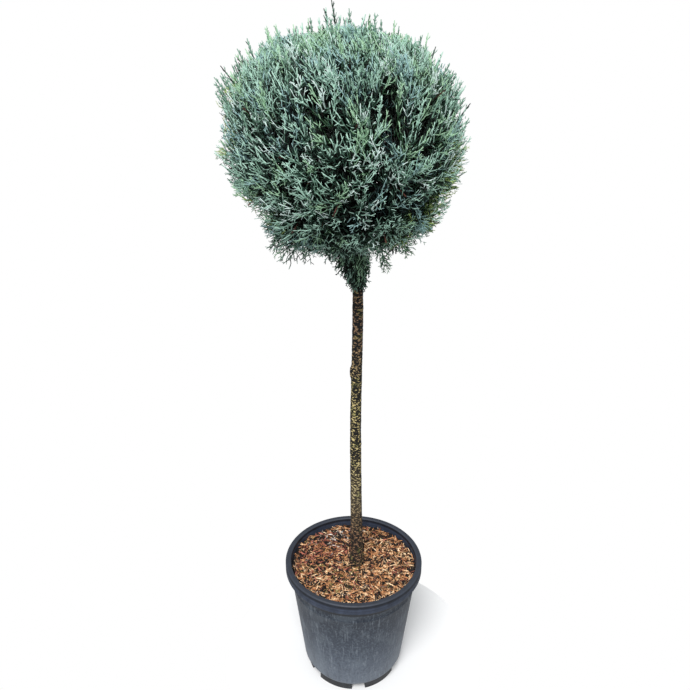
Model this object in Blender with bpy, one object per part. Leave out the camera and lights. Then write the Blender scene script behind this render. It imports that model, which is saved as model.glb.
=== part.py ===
"""A cypress ball on a clear stem, growing in a round nursery pot.

Metres, +Z up. The origin is the centre of the pot's flat underside. The crown is a clipped
ball of dense masses round the trunk. Each mass is a core with twigs and toothed sprays
standing out of it, and keeps to its own wedge of the ball.
"""

import functools
import math
import random

import bmesh
import bpy
from mathutils import Matrix, Vector, noise
from mathutils.bvhtree import BVHTree

GAP = 0.0003  # clear space between pieces that meet
GOLDEN_TURN = math.radians(137.508)
UP = Vector((0, 0, 1))

# Pot
POT_SIDES = 36
POT_HEIGHT = 0.300
POT_RADIUS = 0.165  # outside of the lip
LIP_HEIGHT = 0.024
LIP_WIDTH = 0.0135
LIP_ROUND = 0.004
LIP_BEVEL = 0.002  # under the lip
WALL = 0.003
WALL_TOP_RADIUS = 0.1535  # outside, under the lip
SHOULDER_RADIUS = 0.1235  # outside, where the wall turns in to the base
SHOULDER_HEIGHT = 0.032
FOOT_RADIUS = 0.1135
FOOT_HEIGHT = 0.016
BASE_THICK = 0.019
DRAIN_COUNT = 6
DRAIN_WIDTH = 0.032
DRAIN_FIRST = math.radians(-84)  # azimuth of the channel nearest the front
DRAIN_INNER = 0.060  # from the axis to the blind end of a drain channel

# What fills the pot
SOIL_TOP = 0.262
MULCH_TOP = 0.284
MULCH_RISE = 0.003  # of the uneven surface, either way
MULCH_GRAIN = 0.022
MULCH_EDGE = 6  # power by which it sinks towards the pot
MULCH_RINGS = 5
MULCH_FLAT = 0.031  # radius of the level patch under the trunk's foot

# Trunk
TRUNK_SIDES = 10
TRUNK_RINGS = 18
TRUNK_FOOT = MULCH_TOP + GAP
TRUNK_TOP = 1.372
TRUNK_CROWDING = 1.25  # of its rings towards the foot
TRUNK_ROUTE = (
    Vector((0.0078, 0.000, TRUNK_FOOT)),
    Vector((0.0030, 0.002, 0.640)),
    Vector((0.0056, 0.000, 0.953)),
    Vector((-0.004, -0.002, 1.170)),
    Vector((-0.022, 0.001, TRUNK_TOP)),
)
FLARE_RADIUS = 0.0190  # at the flat cut
FLARE_HEIGHT = 0.030
FLUTES = 5
FLUTE_DEPTH = 0.07  # of the radius at the flat cut
STEM_RADIUS = 0.0152  # of the plain trunk low down
NECK_RADIUS = 0.0112  # where the trunk enters the crown
NECK_HEIGHT = 0.960
NECK_TAPER = 0.6  # under 1 tapers faster low down
TIP_RADIUS = 0.0042

# Crown: a ball squared a little, with hollows worn in it
CROWN_CENTRE = Vector((-0.024, 0.0, 1.245))
CROWN_RADIUS = 0.238  # level, to the tips of the sprays
CROWN_RISE = 0.205  # upright, either way
CROWN_SQUARE = 2.4
EDGE_HALVINGS = 14  # in the search for the crown's reach along a shoot
HOLLOWS = (  # azimuth and elevation (degrees), spread, depth; a swell's depth is below zero
    (-166, -33, 13, 0.13),
    (170, -40, 24, 0.10),
    (-153, -52, 13, -0.07),
    (-26, -48, 15, -0.05),
    (-8, -22, 9, 0.06),
    (70, 40, 30, 0.05),
    (174, 17, 8, -0.08),
    (-178, -1, 8, -0.05),
    (-175, -14, 8, -0.06),
    (0, -2, 8, -0.05),
    (4, 14, 9, -0.03),
    (19, 42, 22, 0.02),
)
LUMPS = 52  # the crown's clumps, evenly spread
LUMP_BAND = 0.97  # sine of the elevation of the first, and of the last below
LUMP_SPREAD = 10  # degrees
LUMP_RISE = 0.060  # of the crown's reach
CORE_SHARE = 0.82  # of the crown's reach
CORE_LUMPS = 0.05
CORE_GRAIN = 0.45
CORE_SINK = 0.09  # of its reach, along the edges of its space
CORE_EDGE = 0.16
CORE_GAP = 0.002  # from a core to the edge of its space
WELD = 0.0008  # points of a core closer than this become one
CORE_HOLLOW = 0.070  # from the crown's centre to a core's inner face
TRUNK_ROOM = 0.024  # from the trunk's middle to a core
SPACE_GAP = 0.0004  # from a spray to the edge of its space
TIERS = (  # name, masses, elevation and first azimuth (degrees), a bough's rise
    ("lower", 4, -47, 40, 0.012),
    ("middle", 5, -4, 18, 0.034),
    ("upper", 4, 36, -8, 0.040),
)

# Boughs
BOUGH_SIDES = 7
BOUGH_STEP = 0.013  # between the roots of one tier's boughs, as they wind up the trunk
BOUGH_ROOT_SHARE = 0.52  # of the trunk's radius there
BOUGH_TIP_SHARE = 0.70  # of the bough's radius at its root
BOUGH_BEND = 0.55  # of the way from root to tip
STEM_STUB = 0.010  # of a mass's stem, from the bough's tip to the core
STEM_DEPTH = 0.030  # of the stem in the core
STEM_TAPER = 0.7
STEM_LEVEL = 0.3  # how far the stem turns from the mass's axis towards level

# Twigs and sprays
SITES = 98
SITE_JITTER = 0.135
ROOT_SHARE = 0.64  # of the crown's reach, where a twig leaves its mass
LIFT_EVERYWHERE = 0.10  # how far a shoot turns up from straight out
LIFT_BY_HEIGHT = 0.55
LIFT_ON_TOP = 0.60
WANDER = 0.20
TWIG_RADIUS = 0.0026
TWIG_TAPER = 0.35
TWIG_SHARE = 0.72  # of its shoot's length
SPRAY_LENGTH = 0.060
SPRAY_WIDTH = 0.030
SPRAY_THICK = 0.0024
SHOOT_SPRAYS = (  # turn about the shoot, lean off it, and where along it the spray starts
    (0, 0, 0.40),
    (0, math.radians(56), 0.34),
    (math.pi, math.radians(56), 0.38),
)
BLADE = ((0, 0), (0.52, -0.5), (0.60, -0.2), (1, 0), (0.60, 0.2), (0.52, 0.5))  # along, across
TRIES = 7

# Upright leaders: where their tips are across the crown (x), and how high. The rest are
# spread over the top by a seeded rule.
LEADER_TIPS = (
    (-0.042, 1.494),
    (-0.011, 1.480),
    (0.008, 1.473),
    (0.020, 1.462),
    (0.049, 1.462),
    (0.076, 1.453),
    (0.130, 1.442),
    (0.156, 1.412),
    (0.178, 1.378),
    (0.196, 1.359),
    (-0.069, 1.467),
    (-0.084, 1.467),
    (-0.098, 1.459),
    (-0.119, 1.454),
    (-0.140, 1.448),
    (-0.162, 1.448),
    (-0.190, 1.435),
    (-0.209, 1.419),
    (-0.228, 1.398),
    (-0.244, 1.390),
    (-0.252, 1.371),
    (-0.238, 1.381),
)
LEADER_LENGTH = 0.085
LEADER_WIDTH = 0.014
LEADER_STEEP = 2.0
LEADER_DEPTH = (-0.045, 0.035)  # how far before and behind the middle those tips lie
LEADER_BACK = 0.17  # how much higher a tip stands for each metre further back
MORE_LEADERS = 11
LEADER_BAND = (0.47, 0.97)  # sine of their elevation, lowest and highest
LEADER_RISE = 0.030  # of their tips out of the crown

# Hanging sprays: their tips across the crown (x), and how low
HANGER_TIPS = ((-0.152, 1.062), (-0.130, 1.046), (-0.100, 1.052), (0.052, 1.028), (0.098, 1.056))
HANGER_LENGTH = 0.060
HANGER_WIDTH = 0.022
HANGER_STEEP = 0.92
HANGER_DEPTH = (-0.07, -0.03)

# Collar of sprays on the trunk under the crown
COLLAR_LOW = 0.984
COLLAR_TOP = 1.074
COLLAR_ROOM = 0.058  # radius of the space round the trunk that the collar keeps
COLLAR_LOW_RADIUS = 0.0150
COLLAR_TOP_RADIUS = 0.042
COLLAR_SPRAYS = 20
COLLAR_LENGTH = 0.036
COLLAR_WIDTH = 0.017
COLLAR_SINK = 0.003  # of a spray's root in the sleeve
COLLAR_SIDES = 11

COLOURS = {  # name: colour, roughness
    "pot": ((0.070, 0.083, 0.108), 0.6),
    "soil": ((0.030, 0.020, 0.014), 0.95),
    "mulch": ((0.330, 0.150, 0.070), 0.9),
    "bark": ((0.120, 0.085, 0.055), 0.9),
    "foliage": ((0.190, 0.330, 0.270), 0.75),
}


# ---------------------------------------------------------------- meshes and objects


def clear_scene():
    for obj in list(bpy.data.objects):
        bpy.data.objects.remove(obj)


def make_material(name):
    colour, roughness = COLOURS[name]
    material = bpy.data.materials.new(name)
    material.use_nodes = True
    shader = material.node_tree.nodes["Principled BSDF"]
    shader.inputs["Base Color"].default_value = (*colour, 1)
    shader.inputs["Roughness"].default_value = roughness
    return material


def add_object(name, shape, material, collection=None):
    """An object from (points, faces)."""
    mesh = bpy.data.meshes.new(name)
    mesh.from_pydata([tuple(p) for p in shape[0]], [], shape[1])
    if material:
        mesh.materials.append(material)
    obj = bpy.data.objects.new(name, mesh)
    (collection or bpy.context.scene.collection).objects.link(obj)
    return obj


def smooth(obj, angle=50):
    obj.data.shade_smooth()
    obj.data.set_sharp_from_angle(angle=math.radians(angle))


def turned(profile, sides):
    """A solid turned about +Z. The profile starts and ends on the axis, outside first."""
    points = [Vector((0, 0, profile[0][1]))]
    for radius, height in profile[1:-1]:
        for k in range(sides):
            turn = math.tau * k / sides
            points.append(Vector((radius * math.cos(turn), radius * math.sin(turn), height)))
    points.append(Vector((0, 0, profile[-1][1])))
    rings = len(profile) - 2
    last = len(points) - 1
    faces = []
    for k in range(sides):
        after = (k + 1) % sides
        faces.append((0, 1 + after, 1 + k))
        for ring in range(rings - 1):
            low = 1 + ring * sides
            faces.append((low + k, low + after, low + sides + after, low + sides + k))
        top = 1 + (rings - 1) * sides
        faces.append((last, top + k, top + after))
    return points, faces


def lofted(rings):
    """A closed solid through rings of the same count, capped by flat ends."""
    sides = len(rings[0])
    points = [point for ring in rings for point in ring]
    faces = [tuple(reversed(range(sides)))]
    for low in range(0, len(points) - sides, sides):
        for k in range(sides):
            after = (k + 1) % sides
            faces.append((low + k, low + after, low + sides + after))
            faces.append((low + k, low + sides + after, low + sides + k))
    faces.append(tuple(range(len(points) - sides, len(points))))
    return points, faces


def limb(route, radii, sides):
    """A tapering limb along a route, its ends cut square to it."""
    rings = []
    across = (route[1] - route[0]).orthogonal().normalized()
    for k, (centre, radius) in enumerate(zip(route, radii)):
        along = (route[min(k + 1, len(route) - 1)] - route[max(k - 1, 0)]).normalized()
        across = (across - along * across.dot(along)).normalized()
        beside = along.cross(across)
        turns = [math.tau * n / sides for n in range(sides)]
        rings.append(
            [centre + radius * (math.cos(t) * across + math.sin(t) * beside) for t in turns]
        )
    return lofted(rings)


def arc(centre, radii, start, end, steps):
    """Points (radius, height) on an arc about a centre in the profile's plane, in degrees."""
    found = []
    for k in range(steps + 1):
        turn = math.radians(start + (end - start) * k / steps)
        x = centre[0] + radii[0] * math.cos(turn)
        found.append((x, centre[1] + radii[1] * math.sin(turn)))
    return found


def apply_boolean(obj, operation, other):
    """Joins or cuts obj by an object or a collection, and applies that."""
    modifier = obj.modifiers.new(operation, "BOOLEAN")
    modifier.operation = operation
    modifier.solver = "EXACT"
    if isinstance(other, bpy.types.Collection):
        modifier.operand_type = "COLLECTION"
        modifier.collection = other
    else:
        modifier.object = other
    evaluated = obj.evaluated_get(bpy.context.evaluated_depsgraph_get())
    mesh = bpy.data.meshes.new_from_object(evaluated)
    obj.modifiers.clear()
    obj.data = mesh
    obj.data.name = obj.name


def remove_collection(collection):
    for obj in list(collection.objects):
        bpy.data.objects.remove(obj)
    bpy.data.collections.remove(collection)


def loose_bodies(shape):
    """The faces of each separate shell of a bmesh."""
    unseen = set(shape.faces)
    while unseen:
        body = [unseen.pop()]
        for face in body:
            for edge in face.edges:
                for near in edge.link_faces:
                    if near in unseen:
                        unseen.remove(near)
                        body.append(near)
        yield body


def keep_body(obj, merit):
    """Keeps the shell of most merit. That drops loose scraps and fills sealed hollows."""
    shape = bmesh.new()
    shape.from_mesh(obj.data)
    bodies = sorted(loose_bodies(shape), key=merit)
    scraps = [face for body in bodies[:-1] for face in body]
    bmesh.ops.delete(shape, geom=scraps, context="FACES")
    shape.to_mesh(obj.data)
    shape.free()


# ---------------------------------------------------------------- pot, soil and mulch


def inner_radius(height):
    """Inside of the pot's straight wall at a height."""
    lip_base = POT_HEIGHT - LIP_HEIGHT
    share = (height - SHOULDER_HEIGHT) / (lip_base - SHOULDER_HEIGHT)
    return SHOULDER_RADIUS + (WALL_TOP_RADIUS - SHOULDER_RADIUS) * share - WALL


def base_turn(inset):
    """The slope from the foot out to the wall, moved in by inset."""
    low = FOOT_HEIGHT if inset == 0 else BASE_THICK
    return [(FOOT_RADIUS - inset, low), (SHOULDER_RADIUS - inset, SHOULDER_HEIGHT)]


def make_pot(material):
    lip_base = POT_HEIGHT - LIP_HEIGHT
    lip_inside = POT_RADIUS - LIP_WIDTH
    profile = [(0, 0), (FOOT_RADIUS, 0)]
    profile += base_turn(0)
    profile += [
        (WALL_TOP_RADIUS, lip_base),
        (POT_RADIUS - LIP_BEVEL / 2, lip_base),
        (POT_RADIUS, lip_base + LIP_BEVEL),
    ]
    top = POT_HEIGHT - LIP_ROUND
    profile += arc((POT_RADIUS - LIP_ROUND, top), (LIP_ROUND, LIP_ROUND), 0, 90, 2)
    profile += arc((lip_inside + LIP_ROUND, top), (LIP_ROUND, LIP_ROUND), 90, 180, 2)
    profile += [(WALL_TOP_RADIUS - WALL, lip_base)]
    profile += reversed(base_turn(WALL))
    profile += [(0, BASE_THICK)]
    pot = add_object("pot", turned(profile, POT_SIDES), material)
    cut_drains(pot)
    smooth(pot, 35)


def cut_drains(pot):
    """Channels under the base that run out through its edge."""
    drains = bpy.data.collections.new("drains")
    bpy.context.scene.collection.children.link(drains)
    half = DRAIN_WIDTH / 2
    corners = [(DRAIN_INNER, -half), (SHOULDER_RADIUS, -half), (SHOULDER_RADIUS, half), (DRAIN_INNER, half)]
    for k in range(DRAIN_COUNT):
        turn = Matrix.Rotation(math.tau * k / DRAIN_COUNT + DRAIN_FIRST, 4, "Z")
        heights = (-FOOT_HEIGHT, FOOT_HEIGHT)
        rings = [[turn @ Vector((x, y, z)) for x, y in corners] for z in heights]
        add_object(f"drain_{k}", lofted(rings), None, drains)
    apply_boolean(pot, "DIFFERENCE", drains)
    remove_collection(drains)


def make_soil(material):
    profile = [(0, BASE_THICK + GAP), (FOOT_RADIUS - WALL - GAP, BASE_THICK + GAP)]
    profile += [(radius - GAP, height + GAP) for radius, height in base_turn(WALL)[1:]]
    profile += [(inner_radius(SOIL_TOP) - GAP, SOIL_TOP), (0, SOIL_TOP)]
    smooth(add_object("potting_soil", turned(profile, POT_SIDES), material))


def mulch_height(x, y):
    """The uneven top of the mulch, a little lower at the pot's wall."""
    if math.hypot(x, y) < MULCH_FLAT:
        return MULCH_TOP
    edge = (math.hypot(x, y) / inner_radius(MULCH_TOP)) ** MULCH_EDGE
    bumps = noise.noise(Vector((x / MULCH_GRAIN, y / MULCH_GRAIN, 0.5)))
    return MULCH_TOP + MULCH_RISE * (bumps - edge)


def make_mulch(material):
    """A layer on the soil, out to the pot's wall."""
    low = SOIL_TOP + GAP
    foot, edge = inner_radius(low) - GAP, inner_radius(POT_HEIGHT - LIP_HEIGHT) - GAP
    rings = []
    for k in range(POT_SIDES):
        turn = math.tau * k / POT_SIDES
        towards = Vector((math.cos(turn), math.sin(turn), 0))
        column = [foot * towards + low * UP]
        for ring in range(MULCH_RINGS, 0, -1):
            place = towards * edge * ring / MULCH_RINGS
            column.append(place + mulch_height(place.x, place.y) * UP)
        rings.append(column)
    count = MULCH_RINGS + 1
    points = [point for column in rings for point in column]
    points += [low * UP, mulch_height(0, 0) * UP]
    bottom, top = len(points) - 2, len(points) - 1
    faces = []
    for k in range(POT_SIDES):
        here, after = k * count, (k + 1) % POT_SIDES * count
        faces.append((bottom, after, here))
        faces.append((top, here + count - 1, after + count - 1))
        for n in range(count - 1):
            faces.append((here + n, after + n, after + n + 1))
            faces.append((here + n, after + n + 1, here + n + 1))
    add_object("bark_mulch", (points, faces), material)


# ---------------------------------------------------------------- trunk and boughs


def trunk_centre(height):
    """The trunk's middle at a height, on a smooth curve through its route."""
    route = TRUNK_ROUTE
    for k in range(len(route) - 1):
        if height <= route[k + 1].z or k == len(route) - 2:
            break
    before, low = route[max(k - 1, 0)], route[k]
    high, after = route[k + 1], route[min(k + 2, len(route) - 1)]
    share = (height - low.z) / (high.z - low.z)
    leave, arrive = (high - before) / 2, (after - low) / 2
    swing = share * share * (3 - 2 * share)
    place = low.lerp(high, swing)
    place += leave * share * (1 - share) ** 2 - arrive * (1 - share) * share**2
    return Vector((place.x, place.y, height))


def trunk_radius(height):
    flare = (FLARE_RADIUS - STEM_RADIUS) * math.exp((TRUNK_FOOT - height) / FLARE_HEIGHT)
    if height < NECK_HEIGHT:
        share = (height - TRUNK_FOOT) / (NECK_HEIGHT - TRUNK_FOOT)
        return STEM_RADIUS + (NECK_RADIUS - STEM_RADIUS) * share**NECK_TAPER + flare
    share = (height - NECK_HEIGHT) / (TRUNK_TOP - NECK_HEIGHT)
    return NECK_RADIUS + (TIP_RADIUS - NECK_RADIUS) * share


def trunk_shape(extra=0.0):
    """The trunk from its flat cut on the mulch to its tip, fatter all round by extra."""
    rings = []
    for n in range(TRUNK_RINGS):
        share = (n / (TRUNK_RINGS - 1)) ** TRUNK_CROWDING
        height = TRUNK_FOOT + (TRUNK_TOP - TRUNK_FOOT) * share
        centre, radius = trunk_centre(height), trunk_radius(height) + extra
        flute = FLUTE_DEPTH * math.exp((TRUNK_FOOT - height) / FLARE_HEIGHT)
        ring = []
        for k in range(TRUNK_SIDES):
            turn = math.tau * k / TRUNK_SIDES
            reach = radius * (1 + flute * math.cos(FLUTES * turn))
            ring.append(centre + reach * Vector((math.cos(turn), math.sin(turn), 0)))
        rings.append(ring)
    return lofted(rings)


def bough_route(mass):
    """A bough's root on the trunk's middle, a bend, and its tip before the mass's core."""
    tip = mass["stem_root"] - GAP * mass["towards"]
    root = trunk_centre(tip.z - mass["rise"] + mass["step"] * BOUGH_STEP)
    bend = tip - mass["towards"] * (tip - root).length * (1 - BOUGH_BEND)
    return [root, root.lerp(bend, 0.5), bend, tip]


def bough_radii(mass):
    """At its root and at its tip."""
    root = trunk_radius(mass["stem_root"].z - mass["rise"]) * BOUGH_ROOT_SHARE
    return root, root * BOUGH_TIP_SHARE


def make_bough(mass, material):
    """One limb from the trunk to its mass, its root cut clear of the trunk."""
    route = bough_route(mass)
    thick, thin = bough_radii(mass)
    radii = [thick + (thin - thick) * k / (len(route) - 1) for k in range(len(route))]
    name = mass["name"].replace("mass", "bough")
    bough = add_object(name, limb(route, radii, BOUGH_SIDES), material)
    trunk_room = add_object("trunk_room", trunk_shape(GAP), None)
    apply_boolean(bough, "DIFFERENCE", trunk_room)
    bpy.data.objects.remove(trunk_room)
    tip = route[-1]
    keep_body(bough, lambda body: -min((v.co - tip).length for face in body for v in face.verts))
    smooth(bough)
    return bough


# ---------------------------------------------------------------- the masses' spaces


def unit(azimuth, elevation):
    azimuth, elevation = math.radians(azimuth), math.radians(elevation)
    flat = math.cos(elevation)
    return Vector((flat * math.cos(azimuth), flat * math.sin(azimuth), math.sin(elevation)))


@functools.cache
def lump_list():
    """The directions of the crown's clumps."""
    return [spiral(LUMP_BAND * (1 - 2 * k / (LUMPS - 1)), k) for k in range(LUMPS)]


def crown_reach(direction):
    """How far the crown reaches from its centre along a direction."""
    level = math.hypot(direction.x, direction.y) / CROWN_RADIUS
    upright = abs(direction.z) / CROWN_RISE
    reach = (level**CROWN_SQUARE + upright**CROWN_SQUARE) ** (-1 / CROWN_SQUARE)
    for azimuth, elevation, spread, depth in HOLLOWS:
        away = math.degrees(unit(azimuth, elevation).angle(direction))
        reach *= 1 - depth * math.exp(-((away / spread) ** 2))
    away = math.degrees(math.acos(min(max(direction.dot(lump) for lump in lump_list()), 1)))
    return reach * (1 - LUMP_RISE * (1 - math.exp(-((away / LUMP_SPREAD) ** 2))))


def depth_share(point):
    """0 at the crown's centre, 1 at its reach."""
    offset = point - CROWN_CENTRE
    return offset.length / crown_reach(offset.normalized())


def run_to_edge(start, way):
    """How far a shoot can grow from inside the crown before it leaves the crown's reach."""
    low, high = 0.0, CROWN_RADIUS
    for _ in range(EDGE_HALVINGS):
        middle = (low + high) / 2
        if depth_share(start + way * middle) < 1:
            low = middle
        else:
            high = middle
    return low


def mass_list():
    """Every mass round the trunk: its name, its axis in the crown and its stem."""
    masses = [{"name": "top_mass", "axis": UP.copy()}]
    for tier, count, elevation, first, rise in TIERS:
        for k in range(count):
            axis = unit(first + 360 * k / count, elevation)
            step = k - (count - 1) / 2
            masses.append({"name": f"{tier}_mass_{k + 1}", "axis": axis, "step": step, "rise": rise})
    for mass in masses:
        others = [other["axis"] for other in masses if other is not mass]
        mass["walls"] = [(mass["axis"] - other).normalized() for other in others]
        place_stem(mass)
    return masses


def place_stem(mass):
    """Where the mass's core begins, where its stem starts and the way that points."""
    axis = mass["axis"]
    if mass["name"] == "top_mass":
        tip = TRUNK_ROUTE[-1]
        mass["towards"] = UP
        mass["stem_root"] = tip + GAP * UP
        mass["core_cuts"] = [(tip + STEM_STUB * UP, UP)]
        return
    face = CROWN_CENTRE + axis * CORE_HOLLOW
    level = Vector((axis.x, axis.y, 0)).normalized()
    mass["towards"] = axis.lerp(level, STEM_LEVEL).normalized()
    mass["stem_root"] = face - mass["towards"] * STEM_STUB
    near = trunk_centre(face.z) + level * TRUNK_ROOM
    mass["core_cuts"] = [(face, axis), (near, level)]


def room(mass, point):
    """How far a point lies inside a mass's own space."""
    offset = point - CROWN_CENTRE
    return min(offset.dot(wall) for wall in mass["walls"])


def in_collar_space(point):
    return point.z < COLLAR_TOP + SPACE_GAP and (point - trunk_centre(point.z)).length < COLLAR_ROOM


# ---------------------------------------------------------------- sprays


def random_vector(chance):
    return Vector(chance.uniform(-1, 1) for _ in range(3))


def spiral(height, k):
    """The direction at this sine of elevation, k golden turns round."""
    flat = math.sqrt(1 - height * height)
    return Vector((flat * math.cos(k * GOLDEN_TURN), flat * math.sin(k * GOLDEN_TURN), height))


def growth(direction, chance):
    """The way a shoot grows at a place on the crown: up on top, out and down below."""
    lift = LIFT_EVERYWHERE + LIFT_BY_HEIGHT * direction.z + LIFT_ON_TOP * max(direction.z, 0) ** 0.5
    return (direction + lift * UP + WANDER * random_vector(chance)).normalized()


def spray_sites():
    """Directions spread evenly over the crown, each with its own seeded chance."""
    for k in range(SITES):
        chance = random.Random(4100 + k)
        place = spiral(1 - 2 * (k + 0.5) / SITES, k)
        yield (place + SITE_JITTER * random_vector(chance)).normalized(), chance


def sprays_at(direction, chance, mass):
    """The twig at a site, and its sprays: one at its end and one to each side."""
    root = CROWN_CENTRE + direction * crown_reach(direction) * ROOT_SHARE
    way = growth(direction, chance)
    reach = run_to_edge(root, way) * chance.uniform(0.93, 1.0)
    side = way.cross(random_vector(chance)).normalized()
    sprays = []
    for turn, lean, share in SHOOT_SPRAYS:
        for attempt in range(TRIES):
            freedom = math.pi * (attempt + 1) / TRIES
            across = Matrix.Rotation(turn + freedom * chance.uniform(-1, 1), 3, way) @ side
            swing = lean * chance.uniform(0.7, 1.2)
            grow = (way * math.cos(swing) + across * math.sin(swing)).normalized()
            start = root + way * reach * share
            length = min(run_to_edge(start, grow), SPRAY_LENGTH * chance.uniform(0.95, 1.3))
            edge = Matrix.Rotation(chance.uniform(-0.7, 0.7), 3, grow) @ way.cross(across)
            edge = (edge - grow * edge.dot(grow)).normalized()
            spray = (start, grow, edge, length, SPRAY_WIDTH * chance.uniform(0.85, 1.15))
            if fits(mass, blade(*spray)):
                sprays.append(spray)
                break
    return (root, way, reach), sprays


def leader(tip, chance):
    """A slim shoot that rises steeply to its tip, as a blade."""
    outward = Vector((tip.x - CROWN_CENTRE.x, tip.y - CROWN_CENTRE.y, 0)) / CROWN_RADIUS
    way = (outward + LEADER_STEEP * UP).normalized()
    side = way.cross(random_vector(chance)).normalized()
    length = LEADER_LENGTH * chance.uniform(0.9, 1.1)
    return tip - way * length, way, side, length, LEADER_WIDTH


def hanger(tip, chance):
    """A spray that droops from the underside of the crown to its tip."""
    outward = Vector((tip.x - CROWN_CENTRE.x, tip.y - CROWN_CENTRE.y, 0)) / CROWN_RADIUS
    way = (outward - HANGER_STEEP * UP).normalized()
    side = way.cross(random_vector(chance)).normalized()
    return tip - way * HANGER_LENGTH, way, side, HANGER_LENGTH, HANGER_WIDTH


def stray_sprays():
    """Leaders and hanging sprays. Those of the tables lie about the crown's middle."""
    for k, (x, z) in enumerate(LEADER_TIPS):
        chance = random.Random(7300 + k)
        y = chance.uniform(*LEADER_DEPTH)
        yield leader(Vector((x, y, z + LEADER_BACK * y)), chance)
    for k in range(MORE_LEADERS):
        chance = random.Random(7400 + k)
        lowest, highest = LEADER_BAND
        direction = spiral(highest - (highest - lowest) * k / MORE_LEADERS, k)
        rise = LEADER_RISE * chance.uniform(0.5, 1.0)
        yield leader(CROWN_CENTRE + direction * crown_reach(direction) + rise * UP, chance)
    for k, (x, z) in enumerate(HANGER_TIPS):
        chance = random.Random(7500 + k)
        yield hanger(Vector((x, chance.uniform(*HANGER_DEPTH), z)), chance)


def fits(mass, shape):
    return all(room(mass, p) > SPACE_GAP and not in_collar_space(p) for p in shape[0])


def blade(root, way, side, length, width):
    """A flat toothed blade for one spray: its root, a tooth each side, and its tip."""
    lift = way.cross(side).normalized() * SPRAY_THICK / 2
    flat = [root + way * length * x + side * width * y for x, y in BLADE]
    return lofted([[p - lift for p in flat], [p + lift for p in flat]])


# ---------------------------------------------------------------- cores and masses


def core_shape(mass):
    """The part of the lumpy inner ball that lies in the mass's space, off the trunk."""
    shape = bmesh.new()
    bmesh.ops.create_icosphere(shape, subdivisions=3, radius=1)
    for vert in shape.verts:
        direction = vert.co.normalized()
        lumps = 1 + CORE_LUMPS * noise.noise(direction / CORE_GRAIN)
        inside = min(direction.dot(wall) for wall in mass["walls"])
        lumps -= CORE_SINK * math.exp(-((inside / CORE_EDGE) ** 2))
        vert.co = CROWN_CENTRE + direction * crown_reach(direction) * CORE_SHARE * lumps
    walls = [(CROWN_CENTRE + wall * CORE_GAP, wall) for wall in mass["walls"]]
    for place, wall in walls + mass["core_cuts"]:
        every = shape.verts[:] + shape.edges[:] + shape.faces[:]
        cut = bmesh.ops.bisect_plane(
            shape, geom=every, plane_co=place, plane_no=wall, clear_inner=True, dist=1e-6
        )
        rim = [part for part in cut["geom_cut"] if isinstance(part, bmesh.types.BMEdge)]
        if rim:
            bmesh.ops.contextual_create(shape, geom=rim)
    bmesh.ops.remove_doubles(shape, verts=shape.verts, dist=WELD)
    bmesh.ops.triangulate(shape, faces=shape.faces)
    bmesh.ops.recalc_face_normals(shape, faces=shape.faces)
    shape.verts.index_update()
    points = [vert.co.copy() for vert in shape.verts]
    faces = [tuple(vert.index for vert in face.verts) for face in shape.faces]
    shape.free()
    return points, faces


def clear_of(shape, limbs):
    tree = BVHTree.FromPolygons(*shape)
    return not any(tree.overlap(other) for other in limbs)


def fuse(name, core, shapes, material):
    """One closed body of a core and everything that grows out of it."""
    parts = bpy.data.collections.new("parts")
    bpy.context.scene.collection.children.link(parts)
    body = add_object(name, core, material)
    for k, shape in enumerate(shapes):
        add_object(f"part_{k}", shape, None, parts)
    apply_boolean(body, "UNION", parts)
    remove_collection(parts)
    return body


def make_mass(mass, limbs, material):
    """One mass of foliage: core, stem, twigs and sprays in one body."""
    start = mass["stem_root"]
    stem = [start, start + mass["towards"] * (STEM_STUB + STEM_DEPTH)]
    thick = TIP_RADIUS if mass["name"] == "top_mass" else bough_radii(mass)[1]
    shapes = [limb(stem, [thick, thick * STEM_TAPER], BOUGH_SIDES)]
    for (root, way, reach), sprays in mass["twigs"]:
        twig_route = [root, root + way * reach * TWIG_SHARE]
        twig = limb(twig_route, [TWIG_RADIUS, TWIG_RADIUS * TWIG_TAPER], 3)
        grown = [twig] + [blade(*spray) for spray in sprays]
        shapes += [shape for shape in grown if clear_of(shape, limbs) and fits(mass, shape)]
    shapes += [shape for shape in mass["strays"] if clear_of(shape, limbs)]
    keep_body(fuse(mass["name"], core_shape(mass), shapes, material), len)


def collar_sprays():
    for k in range(COLLAR_SPRAYS):
        chance = random.Random(8800 + k)
        share = (k + 0.5) / COLLAR_SPRAYS
        height = COLLAR_LOW + (COLLAR_TOP - COLLAR_LOW) * share
        out = spiral(0, k)
        sleeve = COLLAR_LOW_RADIUS + (COLLAR_TOP_RADIUS - COLLAR_LOW_RADIUS) * share
        root = trunk_centre(height) + out * (sleeve - COLLAR_SINK)
        way = (out * chance.uniform(0.2, 0.6) - UP).normalized()
        side = UP.cross(out) + out * chance.uniform(-0.6, 0.6)
        side = (side - way * side.dot(way)).normalized()
        yield blade(root, way, side, COLLAR_LENGTH * chance.uniform(0.7, 1.1), COLLAR_WIDTH)


def make_collar(limbs, material):
    """A sleeve of sprays round the trunk's neck, pointing down and out."""
    rings = []
    for height, radius in ((COLLAR_LOW, COLLAR_LOW_RADIUS), (COLLAR_TOP, COLLAR_TOP_RADIUS)):
        turns = [math.tau * k / COLLAR_SIDES for k in range(COLLAR_SIDES)]
        around = [Vector((math.cos(t), math.sin(t), 0)) for t in turns]
        rings.append([trunk_centre(height) + radius * out for out in around])
    shapes = [shape for shape in collar_sprays() if clear_of(shape, limbs)]
    shapes = [shape for shape in shapes if all(in_collar_space(p) for p in shape[0])]
    body = fuse("collar_mass", lofted(rings), shapes, material)
    trunk_room = add_object("trunk_room", trunk_shape(GAP), None)
    apply_boolean(body, "DIFFERENCE", trunk_room)
    bpy.data.objects.remove(trunk_room)
    keep_body(body, len)


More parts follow.
